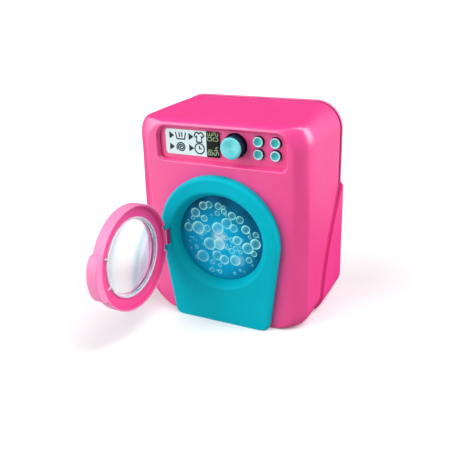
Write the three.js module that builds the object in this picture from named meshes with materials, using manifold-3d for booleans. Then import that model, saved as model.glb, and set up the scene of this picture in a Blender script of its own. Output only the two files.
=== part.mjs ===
// Toy washing machine: a two-shell pink housing with a raised teal arch, a turning bubble drum,
// a porthole door that swings on a side hinge, and a control strip with a knob and four push buttons.
// Turning the knob drives the bubble drum through an idler gear inside the housing.
//
// Millimetres. X runs to the right, Y to the back and Z up. The origin is the middle of the footprint.
// A depth is measured from the flat pink front face towards the back, so what stands proud is negative.

import * as THREE from "three";
import { mergeVertices } from "three/addons/utils/BufferGeometryUtils.js";
import Module from "manifold-3d";

const wasm = await Module();
wasm.setup();

// Overall sizes
const bodyWidth = 143;
const bodyDepth = 90;
const bodyHeight = 165;
const wall = 2.2;
const seatGap = 0.3;
const overrun = 1;

// Housing sections, from the flat face back to the rim: how far each lies inside the overall sizes.
// The brow and the shoulder carry the bevel round the face, which grows rounder above the bend.
const bendHeight = 85;
const flareBlend = 2;
const faceInset = 12;
const faceTopDrop = 6.2;
const faceCornerRadius = 17;
const faceFootRadius = 17;
const browDepth = 2.6;
const browLowInset = 7.9;
const browHighInset = 7.4;
const browTopDrop = 4.2;
const browCornerRadius = 18.6;
const browCornerDrop = 21.1;
const browFootRadius = 18;
const shoulderDepth = 6.5;
const shoulderLowInset = 1.7;
const shoulderHighInset = 3.5;
const shoulderTopDrop = 3.3;
const shoulderCornerRadius = 21;
const shoulderCornerDrop = 18;
const shoulderFootRadius = 19;
const waistDepth = 12;
const waistInset = 1.3;
const waistTopDrop = 3.1;
const waistCornerDrop = 18.4;
const waistFootRadius = 18;
const rimCornerRadius = 21;
const rimFootRadius = 16;
const rimPlate = 1.5;
const beadRise = 0.8;
const beadWidth = 3.4;
const grooveWidth = 1.4;
const grooveDrop = 0.8;

// Seam between the shells
const seamTopHeight = 101;
const seamFootDepth = 34;
const seamUpperPullShares = { depth: 0.55, height: 0.69 };
const seamLowerPullShares = { depth: 0.06, height: 0.45 };
const lipFlare = 2.2;
const lipFrontFlare = 0.8;
const lipKink = 6;
const rearEdgeRound = 1.5;

// Screws that hold the shells together
const bossRadius = 4.5;
const bossSideInset = 17;
const bossFootHeight = 17;
const bossTopDrop = 45;
const bossMeetDepth = 46;
const bossFloor = 4;
const pilotDepth = 14;
const screwShankRadius = 1.3;
const screwHeadRadius = 2.8;
const screwHeadThickness = 1.8;
const driverHoleRadius = 3.4;

// Raised arch round the drum
const archRaise = 7;
const archPocketGap = 7.2;
const archFootGap = 22.5;
const archLift = 2;
const archFootInset = 9;
const archFootRadius = 5;
const archRound = 3;
const archBorder = 10.6;
const wellTaper = 4;
const wellTube = 2;
const wellTubeDepth = 1.3;

// Drum and its gear train
const discThickness = 1.5;
const discOverlap = 1.4;
const trainSlackShare = 1.02408;
const gearDepth = 12;
const gearThickness = 4;
const drumTeeth = 56;
const idlerTeeth = 26;
const knobTeeth = 16;
const pressureAngle = THREE.MathUtils.degToRad(20);
const backlash = 0.35;
const addendumShare = 0.85;
const dedendumShare = 1.2;
const gearWebThickness = 1.6;
const gearRimWidth = 4;
const axleRadius = 2;
const hubRadius = 5;
const idlerHubRadius = 4;
const lighteningHoles = 5;
const lighteningRadius = 5.5;

// Bracket that carries the gears
const bracketDepth = 20;
const bracketThickness = 2.2;
const bracketMargin = 5;
const bracketCorner = 5;
const bracketTongueLeft = 15;
const bracketTongueRight = 12.5;
const bracketTongueTop = 10.5;
const bracketBossGap = 7;
const bracketBossRise = 21.5;
const bracketBossRadius = 3.4;
const bracketScrewRadius = 1.2;
const bracketScrewHead = 3;
const bracketScrewLength = 12;

// Control strip
const stripRise = 1.65;
const pocketMiddle = 2.1;
const pocketSideInset = 19.2;
const pocketHalfHeight = 13.65;
const pocketMargin = 1.8;
const pocketDepth = 4;
const pocketTopRadius = 9;
const pocketFootRadius = 4.5;
const pocketDraft = 0.8;
const labelInset = 6;
const labelKnobGap = 15.1;
const labelHeight = 20.6;
const labelThickness = 0.5;
const labelCorner = 2.6;
const displayWidth = 10.4;
const displayThickness = 0.8;
const displayCorner = 0.8;

// Knob
const knobToButtons = 24.9;
const knobRadius = 8.1;
const knobProud = 5.6;
const knobDome = 1.1;
const knobEdge = 0.9;
const knobSkirtDepth = 8;
const knobGap = 1.1;
const knobSocketDepth = 1;
const knobShaftTail = 2.2;
const clipThickness = 0.8;
const clipRadius = 4.2;

// Push buttons
const buttonRadius = 3.8;
const buttonSideInset = 33;
const buttonPitchX = 13;
const buttonPitchZ = 9.3;
const buttonProud = 2.4;
const buttonTravel = 1.5;
const buttonDish = 0.9;
const buttonRim = 0.9;
const buttonFlange = 0.7;
const buttonFlangeThickness = 1;
const spigotRadius = 1.2;
const spigotLength = 2;
const springWire = 0.3;
const springRadius = 1.9;
const springTurns = 3.5;
const buttonPlateDepth = 15;
const buttonPlateThickness = 2;
const buttonPlateMargin = 5;
const buttonBossRadius = 2.5;
const buttonScrewRadius = 0.9;
const buttonScrewHead = 2.4;
const buttonScrewLength = 6;

// Door, drawn shut and then swung open
const doorOpenAngle = 93;
const doorLap = 0.6;
const doorBorder = 11;
const doorClearance = 0.5;
const doorFrameWall = 2.2;
const doorFrontThickness = 1.8;
const doorRecess = 4.2;
const doorTrimThickness = 1.5;
const trimCollarRise = 1.6;
const trimCollarWidth = 1.3;
const doorEdgeRound = 1.5;
const windowThickness = 1.2;
const windowFlange = 4.5;
const windowDome = 4;
const handleReach = 5.5;
const handleHalfHeight = 18;
const handleDepthHalf = 9;
const hingeRadius = 2.2;
const hingePinRadius = 1;
const hingeBarrelHalf = 6.2;
const hingeEar = 4.2;
const hingeWeb = 2.6;

// Facet counts
const footSegments = 4;
const cornerSegments = 6;
const plateArcSegments = 3;
const sideSteps = 3;
const seamSteps = 12;
const roundSegments = 36;
const smallSegments = 16;
const screwSegments = 10;
const springStepsPerTurn = 6;
const springHalfSides = 3;
const domeSteps = 3;
const edgeSteps = 3;
const archSegments = 12;

// Values that follow from the ones above
const frontY = archRaise - bodyDepth / 2;
const rimDepth = bodyDepth - archRaise;
const splitDepth = rimDepth - rimPlate;
const floorDepth = pocketDepth + wall;
const discDepth = wellTubeDepth + seatGap;
const bracketBack = bracketDepth + bracketThickness;
const pocketTop = bodyHeight - faceTopDrop - pocketMargin;
const pocketFoot = pocketTop - 2 * pocketHalfHeight;
const pocketHalfWidth = bodyWidth / 2 - pocketSideInset;
const stripHeight = pocketTop - pocketHalfHeight + stripRise;
const buttonMiddle = bodyWidth / 2 - buttonSideInset;
const knobMiddle = buttonMiddle - knobToButtons;
const labelLeft = pocketMiddle - pocketHalfWidth + labelInset;
const labelRight = knobMiddle - knobRadius - labelKnobGap;
const archTop = pocketFoot - archPocketGap;
const archHeight = (archTop + archFootGap) / 2;
const archRadius = (archTop - archFootGap) / 2;
const archFootHalf = archRadius - archFootInset;
const wellFrontRadius = archRadius - archBorder;
const wellRadius = wellFrontRadius - wellTaper;
const drumHeight = archHeight - archLift;
const doorRadius = wellFrontRadius + doorLap;
const doorWindowRadius = doorRadius - doorBorder;

// Gear sizes follow from the distance between drum and knob, with a little slack that sets the idler aside
const knobOffset = new THREE.Vector2(knobMiddle, stripHeight - drumHeight);
const knobDistance = knobOffset.length();
const gearModule = (knobDistance * trainSlackShare) / (drumTeeth / 2 + idlerTeeth + knobTeeth / 2);
const drumGearTip = gearModule * (drumTeeth / 2 + addendumShare);
const bracketBossSide = drumGearTip + bracketBossGap + bracketBossRadius;
const bracketHalfWidth = bracketBossSide + bracketMargin;
const bracketHalfHeight = bracketBossRise + bracketMargin;

// Materials
function plastic(color, roughness) {
  return new THREE.MeshStandardMaterial({ color, roughness, metalness: 0 });
}
const shellPink = plastic(0xf0509a, 0.32);
const rearPink = plastic(0xe8458f, 0.34);
const teal = plastic(0x1cb6d0, 0.3);
const labelMint = plastic(0xd7f0f0, 0.45);
const displayBlack = plastic(0x0c1210, 0.25);
const knobBlue = plastic(0x73d7df, 0.35);
const buttonTeal = plastic(0x55c9c8, 0.35);
const bubbleBlue = plastic(0x0c8fc4, 0.3);
const gearWhite = plastic(0xe9e7e0, 0.5);
const bracketGrey = plastic(0xb9bcc0, 0.55);
const doorPink = plastic(0xf49cc6, 0.32);
const trimMagenta = plastic(0xd0408a, 0.3);
const steel = new THREE.MeshStandardMaterial({ color: 0xb8bcc2, roughness: 0.35, metalness: 1 });
const clearPlastic = new THREE.MeshStandardMaterial({
  color: 0xeef4fa,
  roughness: 0.05,
  metalness: 0,
  transparent: true,
  opacity: 0.35,
});

// Solids: a closed three.js mesh goes in, with shared corners merged and faces pointing out
function signedVolume(corners, triangles) {
  const a = new THREE.Vector3();
  const b = new THREE.Vector3();
  const c = new THREE.Vector3();
  let total = 0;
  for (let i = 0; i < triangles.length; i += 3) {
    a.fromArray(corners, 3 * triangles[i]);
    b.fromArray(corners, 3 * triangles[i + 1]);
    c.fromArray(corners, 3 * triangles[i + 2]);
    total += a.dot(b.cross(c));
  }
  return total;
}

function solid(geometry) {
  const bare = geometry.clone();
  bare.deleteAttribute("normal");
  bare.deleteAttribute("uv");
  const merged = mergeVertices(bare);
  const corners = merged.attributes.position.array;
  const triangles = [];
  for (let i = 0; i < merged.index.count; i += 3) {
    const [p, q, r] = [0, 1, 2].map((step) => merged.index.getX(i + step));
    if (p !== q && q !== r && r !== p) triangles.push(p, q, r);
  }
  if (signedVolume(corners, triangles) < 0) triangles.reverse();
  const mesh = new wasm.Mesh({
    numProp: 3,
    vertProperties: new Float32Array(corners),
    triVerts: new Uint32Array(triangles),
  });
  return new wasm.Manifold(mesh);
}

function geometryOf(body) {
  const mesh = body.getMesh();
  const geometry = new THREE.BufferGeometry();
  geometry.setAttribute("position", new THREE.BufferAttribute(new Float32Array(mesh.vertProperties), 3));
  geometry.setIndex(new THREE.BufferAttribute(new Uint32Array(mesh.triVerts), 1));
  geometry.computeVertexNormals();
  return geometry;
}

function piece(name, body, material) {
  const mesh = new THREE.Mesh(geometryOf(body), material);
  mesh.name = name;
  return mesh;
}

// A shape drawn in X and Z becomes a slab between two depths
function slab(shape, frontDepth, backDepth, segments = smallSegments) {
  const geometry = new THREE.ExtrudeGeometry(shape, {
    depth: backDepth - frontDepth,
    bevelEnabled: false,
    curveSegments: segments,
  });
  geometry.rotateX(Math.PI / 2);
  geometry.translate(0, frontY + backDepth, 0);
  return solid(geometry);
}

// A profile of [radius, depth] pairs is turned about a line that runs from front to back
function turned(profile, x, z, segments = smallSegments) {
  const points = profile.map(([radius, depth]) => new THREE.Vector2(radius, depth));
  const geometry = new THREE.LatheGeometry(points, segments);
  geometry.translate(x, frontY, z);
  return solid(geometry);
}

function rod(x, z, radius, frontDepth, backDepth, segments = smallSegments) {
  const profile = [[0, frontDepth], [radius, frontDepth], [radius, backDepth], [0, backDepth]];
  return turned(profile, x, z, segments);
}

function tube(x, z, inner, outer, frontDepth, backDepth, segments = smallSegments) {
  const profile = [
    [inner, frontDepth],
    [outer, frontDepth],
    [outer, backDepth],
    [inner, backDepth],
    [inner, frontDepth],
  ];
  return turned(profile, x, z, segments);
}

function roundedRectangle(left, right, bottom, top, footRadius, topRadius = footRadius) {
  const shape = new THREE.Shape();
  shape.moveTo(left + footRadius, bottom);
  shape.lineTo(right - footRadius, bottom);
  shape.absarc(right - footRadius, bottom + footRadius, footRadius, -Math.PI / 2, 0, false);
  shape.absarc(right - topRadius, top - topRadius, topRadius, 0, Math.PI / 2, false);
  shape.absarc(left + topRadius, top - topRadius, topRadius, Math.PI / 2, Math.PI, false);
  shape.absarc(left + footRadius, bottom + footRadius, footRadius, Math.PI, 1.5 * Math.PI, false);
  return shape;
}

function joined(bodies) {
  return bodies.reduce((sum, body) => sum.add(body));
}

// A loft joins outlines with equal numbers of [x, z] points, each at its own depth
function loft(sections) {
  const count = sections[0].outline.length;
  const positions = [];
  const triangles = [];
  for (const { outline, depth } of sections) {
    for (const [x, z] of outline) positions.push(x, frontY + depth, z);
  }
  for (let row = 0; row + 1 < sections.length; row++) {
    for (let i = 0; i < count; i++) {
      const next = (i + 1) % count;
      const a = row * count + i;
      const b = row * count + next;
      triangles.push(a, b, a + count, b, b + count, a + count);
    }
  }
  addCap(positions, triangles, sections[0], 0, true);
  addCap(positions, triangles, sections.at(-1), (sections.length - 1) * count, false);
  const geometry = new THREE.BufferGeometry();
  geometry.setAttribute("position", new THREE.BufferAttribute(new Float32Array(positions), 3));
  geometry.setIndex(triangles);
  return solid(geometry);
}

function addCap(positions, triangles, { outline, depth }, first, front) {
  const middle = positions.length / 3;
  const heights = outline.map(([, z]) => z);
  positions.push(0, frontY + depth, (Math.min(...heights) + Math.max(...heights)) / 2);
  for (let i = 0; i < outline.length; i++) {
    const a = first + i;
    const b = first + ((i + 1) % outline.length);
    if (front) triangles.push(middle, b, a);
    else triangles.push(middle, a, b);
  }
}

// Housing sections: round feet and shoulders, with sides that lean in above a bend
function arcPoints(x, z, radius, from, to, segments) {
  const points = [];
  for (let i = 0; i <= segments; i++) {
    const angle = THREE.MathUtils.lerp(from, to, i / segments);
    points.push([x + radius * Math.cos(angle), z + radius * Math.sin(angle)]);
  }
  return points;
}

// Each corner is an arc that the flat top may cut short, which leaves a crease between top and side
function sectionOutline(section) {
  const { low, high, bend, bendTop, top, cornerHeight, cornerRadius, footRadius, floor } = section;
  const right = arcPoints(low - footRadius, floor + footRadius, footRadius, -Math.PI / 2, 0, footSegments);
  for (let i = 0; i <= sideSteps; i++) {
    const share = i / sideSteps;
    const z = THREE.MathUtils.lerp(bend, bendTop, share);
    right.push([THREE.MathUtils.lerp(low, high, THREE.MathUtils.smoothstep(share, 0, 1)), z]);
  }
  const crease = Math.asin(Math.min(1, (top - cornerHeight) / cornerRadius));
  right.push(...arcPoints(high - cornerRadius, cornerHeight, cornerRadius, 0, crease, cornerSegments));
  const left = right.map(([x, z]) => [-x, z]).reverse();
  return [...right, ...left];
}

function inset(section, amount, floor = amount) {
  return {
    ...section,
    low: section.low - amount,
    high: section.high - amount,
    top: section.top - amount,
    cornerRadius: section.cornerRadius - amount,
    footRadius: section.footRadius - amount,
    floor,
  };
}

function section(lowInset, highInset, topDrop, cornerDrop, cornerRadius, footRadius) {
  const cornerHeight = bodyHeight - cornerDrop;
  return {
    low: bodyWidth / 2 - lowInset,
    high: bodyWidth / 2 - highInset,
    bend: bendHeight,
    bendTop: cornerHeight - flareBlend,
    top: bodyHeight - topDrop,
    cornerHeight,
    cornerRadius,
    footRadius,
    floor: 0,
  };
}

function between(first, second, share) {
  const mixed = {};
  for (const key of Object.keys(first)) mixed[key] = THREE.MathUtils.lerp(first[key], second[key], share);
  return mixed;
}

const faceCornerDrop = faceTopDrop + faceCornerRadius;
const faceSection = section(
  faceInset, faceInset, faceTopDrop, faceCornerDrop, faceCornerRadius, faceFootRadius,
);
const browSection = section(
  browLowInset, browHighInset, browTopDrop, browCornerDrop, browCornerRadius, browFootRadius,
);
const shoulderSection = section(
  shoulderLowInset, shoulderHighInset, shoulderTopDrop, shoulderCornerDrop, shoulderCornerRadius,
  shoulderFootRadius,
);
const waistSection = section(
  waistInset, waistInset, waistTopDrop, waistCornerDrop, shoulderCornerRadius, waistFootRadius,
);
const rimCornerDrop = beadRise + rimCornerRadius;
const rimSection = section(
  beadRise, beadRise, beadRise, rimCornerDrop, rimCornerRadius, rimFootRadius,
);
const sideSection = between(waistSection, rimSection, 1 / 2);
const beadSection = inset(rimSection, -beadRise, 0);
const grooveSection = inset(rimSection, grooveDrop, 0);

function at(section, depth) {
  return { outline: sectionOutline(section), depth };
}

const grooveDepth = splitDepth - beadWidth - grooveWidth;
const sideDepth = (waistDepth + grooveDepth) / 2;

function frontOuter() {
  return loft([
    at(faceSection, 0),
    at(browSection, browDepth),
    at(shoulderSection, shoulderDepth),
    at(waistSection, waistDepth),
    at(sideSection, sideDepth),
    at(rimSection, grooveDepth),
    at(grooveSection, grooveDepth + grooveWidth / 2),
    at(beadSection, grooveDepth + grooveWidth),
    at(beadSection, rimDepth + overrun),
  ]);
}

function frontInner() {
  return loft([
    at(inset(faceSection, wall), wall),
    at(inset(shoulderSection, wall), shoulderDepth + wall),
    at(inset(waistSection, wall), waistDepth + wall),
    at(inset(sideSection, wall), sideDepth),
    at(inset(rimSection, wall), grooveDepth),
    at(inset(rimSection, wall), rimDepth + 2 * overrun),
  ]);
}

// The rear shell flares past the front one below the seam and is level with it above
function rearSection(flare) {
  return {
    ...section(-flare, beadRise, beadRise, rimCornerDrop, rimCornerRadius, rimFootRadius),
    bend: seamTopHeight - lipKink,
    bendTop: seamTopHeight,
  };
}

function rearOuter() {
  return loft([
    at(rearSection(lipFrontFlare), seamFootDepth - shoulderDepth),
    at(rearSection(lipFlare), rimDepth - rearEdgeRound),
    at(inset(rearSection(lipFlare), rearEdgeRound, 0), rimDepth),
  ]);
}

function rearInner() {
  return loft([
    at(inset(rearSection(lipFrontFlare), wall), seamFootDepth - shoulderDepth - overrun),
    at(inset(rearSection(lipFlare), wall), rimDepth - wall),
  ]);
}

// The seam sweeps from the rear rim down and forward to the foot
function seamPoints() {
  const run = splitDepth - seamFootDepth;
  const pull = ({ depth, height }) =>
    new THREE.Vector2(seamFootDepth + depth * run, height * seamTopHeight);
  const curve = new THREE.CubicBezierCurve(
    new THREE.Vector2(splitDepth, seamTopHeight),
    pull(seamUpperPullShares),
    pull(seamLowerPullShares),
    new THREE.Vector2(seamFootDepth, 0),
  );
  return curve.getPoints(seamSteps);
}

// A region drawn in depth and height runs across the whole width
function acrossWidth(points) {
  const halfWidth = bodyWidth / 2 + lipFlare + overrun;
  const geometry = new THREE.ExtrudeGeometry(new THREE.Shape(points), {
    depth: 2 * halfWidth,
    bevelEnabled: false,
  });
  geometry.rotateX(Math.PI / 2);
  geometry.rotateZ(Math.PI / 2);
  geometry.translate(-halfWidth, frontY, 0);
  return solid(geometry);
}

function frontRegion() {
  const points = [
    new THREE.Vector2(-overrun, -overrun),
    new THREE.Vector2(-overrun, bodyHeight + overrun),
    new THREE.Vector2(splitDepth, bodyHeight + overrun),
    ...seamPoints(),
    new THREE.Vector2(seamFootDepth, -overrun),
  ];
  return acrossWidth(points);
}

function rearRegion() {
  const shifted = seamPoints().map((point) => new THREE.Vector2(point.x + seatGap, point.y - seatGap));
  const points = [
    new THREE.Vector2(rimDepth + overrun, bodyHeight + overrun),
    new THREE.Vector2(splitDepth + seatGap, bodyHeight + overrun),
    ...shifted,
    new THREE.Vector2(seamFootDepth + seatGap, -overrun),
    new THREE.Vector2(rimDepth + overrun, -overrun),
  ];
  return acrossWidth(points);
}

// Screw places of the two shells
function shellScrewPlaces() {
  const places = [];
  for (const side of [-1, 1]) {
    for (const z of [bossFootHeight, bodyHeight - bossTopDrop]) {
      places.push([side * (bodyWidth / 2 - bossSideInset), z]);
    }
  }
  return places;
}

function bracketScrewPlaces() {
  const places = [];
  for (const side of [-1, 1]) {
    for (const rise of [-1, 1]) {
      places.push([side * bracketBossSide, drumHeight + rise * bracketBossRise]);
    }
  }
  return places;
}

function buttonPlaces() {
  const places = [];
  for (const row of [0.5, -0.5]) {
    for (const column of [-0.5, 0.5]) {
      places.push([buttonMiddle + column * buttonPitchX, stripHeight + row * buttonPitchZ]);
    }
  }
  return places;
}

// Pocket of the control strip
function pocketShape(grow) {
  return roundedRectangle(
    pocketMiddle - pocketHalfWidth - grow,
    pocketMiddle + pocketHalfWidth + grow,
    pocketFoot - grow,
    pocketTop + grow,
    pocketFootRadius + grow,
    pocketTopRadius + grow,
  );
}

function pocketOutline(grow) {
  return pocketShape(grow)
    .getPoints(plateArcSegments)
    .slice(0, -1)
    .map((point) => [point.x, point.y]);
}

// Boss on the inside of the front wall, with a blind hole for its screw
function addBoss(body, outer, [x, z], boss) {
  const post = rod(x, z, boss.radius, boss.start, boss.end, screwSegments).intersect(outer);
  const holeStart = boss.end - boss.holeDepth;
  const hole = rod(x, z, boss.screwRadius + seatGap, holeStart, boss.end + overrun, screwSegments);
  return body.add(post).subtract(hole);
}

function frontShell() {
  const outer = frontOuter();
  const pocketBlock = slab(pocketShape(wall), 0, floorDepth, plateArcSegments).intersect(outer);
  let body = outer.subtract(frontInner()).add(pocketBlock).intersect(frontRegion());
  const root = wall - seatGap;
  const shellBoss = {
    radius: bossRadius,
    start: root,
    end: bossMeetDepth,
    screwRadius: screwShankRadius,
    holeDepth: pilotDepth,
  };
  const bracketBoss = {
    radius: bracketBossRadius,
    start: root,
    end: bracketDepth - seatGap,
    screwRadius: bracketScrewRadius,
    holeDepth: bracketScrewLength,
  };
  const plateBoss = {
    radius: buttonBossRadius,
    start: floorDepth - seatGap,
    end: buttonPlateDepth - seatGap,
    screwRadius: buttonScrewRadius,
    holeDepth: buttonScrewLength,
  };
  for (const place of shellScrewPlaces()) body = addBoss(body, outer, place, shellBoss);
  for (const place of bracketScrewPlaces()) body = addBoss(body, outer, place, bracketBoss);
  body = addBoss(body, outer, [buttonMiddle, stripHeight], plateBoss);
  const cavity = loft([
    { outline: pocketOutline(pocketDraft), depth: -overrun },
    { outline: pocketOutline(0), depth: pocketDepth },
  ]);
  body = body.subtract(cavity);
  const drumHole = wellRadius + wellTube + seatGap;
  body = body.subtract(rod(0, drumHeight, drumHole, -overrun, wall + overrun, roundSegments));
  body = body.subtract(rod(knobMiddle, stripHeight, knobRadius + knobGap, 0, floorDepth + overrun));
  for (const [x, z] of buttonPlaces()) {
    body = body.subtract(rod(x, z, buttonRadius + seatGap, 0, floorDepth + overrun));
  }
  return body;
}

function rearShell() {
  let body = rearOuter().subtract(rearInner()).intersect(rearRegion());
  const bossStart = bossMeetDepth + seatGap;
  for (const [x, z] of shellScrewPlaces()) {
    body = body.add(rod(x, z, bossRadius, bossStart, rimDepth - rimPlate / 2));
    const shankHole = screwShankRadius + seatGap;
    body = body.subtract(rod(x, z, shankHole, bossStart - overrun, rimDepth, screwSegments));
    const seat = bossStart + bossFloor;
    body = body.subtract(rod(x, z, driverHoleRadius, seat, rimDepth + overrun, screwSegments));
  }
  return body;
}

// Screw, drawn round the origin's depth line: a head with a cross cut, and a shank towards the front
function screw(headDepth, headRadius, shankRadius, length) {
  const slotFloor = headDepth + screwHeadThickness / 2;
  const head = rod(0, 0, headRadius, headDepth, headDepth + screwHeadThickness, screwSegments);
  const shank = rod(0, 0, shankRadius, headDepth - length, slotFloor, screwSegments);
  const slotHalf = headRadius / 6;
  const reach = headRadius * (2 / 3);
  const slotTop = headDepth + 2 * screwHeadThickness;
  const level = uprightBlock(-reach, reach, slotFloor, slotTop, -slotHalf, slotHalf);
  const upright = uprightBlock(-slotHalf, slotHalf, slotFloor, slotTop, -reach, reach);
  return head.add(shank).subtract(joined([level, upright]));
}

function housingScrew() {
  const headDepth = bossMeetDepth + seatGap + bossFloor + seatGap;
  const length = bossFloor + pilotDepth - seatGap;
  return screw(headDepth, screwHeadRadius, screwShankRadius, length);
}

function bracketScrew() {
  const length = bracketThickness + bracketScrewLength - seatGap;
  return screw(bracketBack + seatGap, bracketScrewHead, bracketScrewRadius, length);
}

// Arch: a round head whose sides run straight down and slightly inwards to the foot
function archOutline(shrink) {
  const radius = archRadius - shrink;
  const foot = archFootHalf - shrink;
  const reach = Math.hypot(foot, archHeight);
  const tangent = Math.acos(radius / reach) - Math.atan2(archHeight, foot);
  const touch = new THREE.Vector2(radius * Math.cos(tangent), archHeight + radius * Math.sin(tangent));
  const corner = new THREE.Vector2(foot, 0);
  const up = touch.clone().sub(corner).setLength(archFootRadius).add(corner);
  const footCurve = new THREE.QuadraticBezierCurve(new THREE.Vector2(foot - archFootRadius, 0), corner, up);
  const right = footCurve.getPoints(footSegments).map((point) => [point.x, point.y]);
  right.push(...arcPoints(0, archHeight, radius, tangent, Math.PI / 2, archSegments));
  const left = right.slice(0, -1).map(([x, z]) => [-x, z]);
  return [...right, ...left.reverse()];
}

function archPanel() {
  const face = -archRaise;
  const rounded = [];
  for (let i = 0; i <= edgeSteps; i++) {
    const angle = (i / edgeSteps) * (Math.PI / 2);
    const shrink = archRound * (1 - Math.sin(angle));
    rounded.push({ outline: archOutline(shrink), depth: face + archRound * (1 - Math.cos(angle)) });
  }
  const block = loft([...rounded, { outline: archOutline(0), depth: -seatGap }]);
  const collar = rod(0, drumHeight, wellRadius + wellTube, face + archRound, wellTubeDepth, roundSegments);
  const slope = (wellFrontRadius - wellRadius) / archRaise;
  const well = turned(
    [
      [0, face - overrun],
      [wellFrontRadius + slope * overrun, face - overrun],
      [wellRadius, 0],
      [wellRadius, wellTubeDepth + overrun],
      [0, wellTubeDepth + overrun],
    ],
    0,
    drumHeight,
    roundSegments,
  );
  let body = block.add(collar).subtract(well);
  for (const side of [-1, 1]) {
    const near = hingeBarrelHalf + seatGap;
    body = body.add(hingeEarSolid(drumHeight + side * near, drumHeight + side * (near + hingeEar)));
  }
  return body.subtract(hingeLine(hingePinRadius + seatGap, hingeBarrelHalf + hingeEar + overrun));
}

// Hinge at the left of the arch, with its pin upright
const hingeDepth = -archRaise - seatGap - hingeRadius;
const hingeX = -(doorRadius + seatGap + hingeRadius);
const hingeY = frontY + hingeDepth;

function hingeLine(radius, halfLength, segments = screwSegments) {
  const geometry = new THREE.CylinderGeometry(radius, radius, 2 * halfLength, segments);
  geometry.rotateX(Math.PI / 2);
  geometry.translate(hingeX, hingeY, drumHeight);
  return solid(geometry);
}

function uprightBlock(left, right, frontDepth, backDepth, bottom, top) {
  const geometry = new THREE.BoxGeometry(right - left, backDepth - frontDepth, top - bottom);
  geometry.translate((left + right) / 2, frontY + (frontDepth + backDepth) / 2, (bottom + top) / 2);
  return solid(geometry);
}

function hingeEarSolid(from, to) {
  const bottom = Math.min(from, to);
  const top = Math.max(from, to);
  const left = hingeX - hingeRadius;
  const right = hingeX + hingeRadius;
  const foot = uprightBlock(left, right, hingeDepth, -archRaise + seatGap, bottom, top);
  const round = new THREE.CylinderGeometry(hingeRadius, hingeRadius, top - bottom, smallSegments);
  round.rotateX(Math.PI / 2);
  round.translate(hingeX, hingeY, (bottom + top) / 2);
  return foot.add(solid(round));
}

function hingePin() {
  return hingeLine(hingePinRadius, hingeBarrelHalf + seatGap + hingeEar);
}

// Door pieces, drawn shut in front of the arch
const doorBack = -archRaise - doorClearance;
const trimBack = doorBack - doorRecess;
const trimFront = trimBack - doorTrimThickness;
const windowBack = trimFront - seatGap;
const windowFront = windowBack - windowThickness;
const frameSeat = windowFront - seatGap;
const doorFront = frameSeat - doorFrontThickness;
const trimRadius = doorRadius - doorFrameWall - seatGap;

function doorFrame() {
  const inner = doorRadius - doorFrameWall;
  const ring = turned(
    [
      [doorWindowRadius, doorFront + doorEdgeRound / 2],
      [doorWindowRadius + doorEdgeRound / 2, doorFront],
      [doorRadius - doorEdgeRound, doorFront],
      [doorRadius - doorEdgeRound / 3, doorFront + doorEdgeRound / 3],
      [doorRadius, doorFront + doorEdgeRound],
      [doorRadius, doorBack],
      [inner, doorBack],
      [inner, frameSeat],
      [doorWindowRadius, frameSeat],
      [doorWindowRadius, doorFront + doorEdgeRound / 2],
    ],
    0,
    drumHeight,
    roundSegments,
  );
  const handleShape = new THREE.Shape();
  const handleMiddle = doorRadius + handleReach - handleDepthHalf;
  handleShape.absellipse(handleMiddle, drumHeight, handleDepthHalf, handleHalfHeight, 0, 2 * Math.PI);
  const coreRadius = (inner + doorRadius) / 2;
  const core = rod(0, drumHeight, coreRadius, doorFront - overrun, doorBack + overrun, roundSegments);
  const handle = slab(handleShape, doorFront + doorEdgeRound / 3, doorBack).subtract(core);
  const web = uprightBlock(
    hingeX,
    doorFrameWall / 2 - doorRadius,
    hingeDepth - hingeWeb / 2,
    hingeDepth + hingeWeb / 2,
    drumHeight - hingeBarrelHalf,
    drumHeight + hingeBarrelHalf,
  );
  const barrel = hingeLine(hingeRadius, hingeBarrelHalf, smallSegments);
  const pinHole = hingeLine(hingePinRadius + seatGap, hingeBarrelHalf + overrun);
  return joined([ring, handle, web, barrel]).subtract(pinHole);
}

function doorTrim() {
  return turned(
    [
      [doorWindowRadius, trimFront],
      [trimRadius, trimFront],
      [trimRadius, trimBack],
      [doorWindowRadius + trimCollarWidth, trimBack],
      [doorWindowRadius + trimCollarWidth, trimBack + trimCollarRise],
      [doorWindowRadius, trimBack + trimCollarRise],
      [doorWindowRadius, trimFront],
    ],
    0,
    drumHeight,
    roundSegments,
  );
}

function doorWindow() {
  const flange = doorWindowRadius + windowFlange;
  const rim = doorWindowRadius - windowThickness;
  const front = [];
  const back = [];
  for (let i = 0; i <= domeSteps; i++) {
    const share = i / domeSteps;
    const rise = windowDome * (1 - share * share);
    front.push([rim * share, windowFront - rise]);
    back.unshift([rim * share, windowBack - rise]);
  }
  const profile = [...front, [flange, windowFront], [flange, windowBack], ...back];
  return turned(profile, 0, drumHeight, roundSegments);
}

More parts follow.
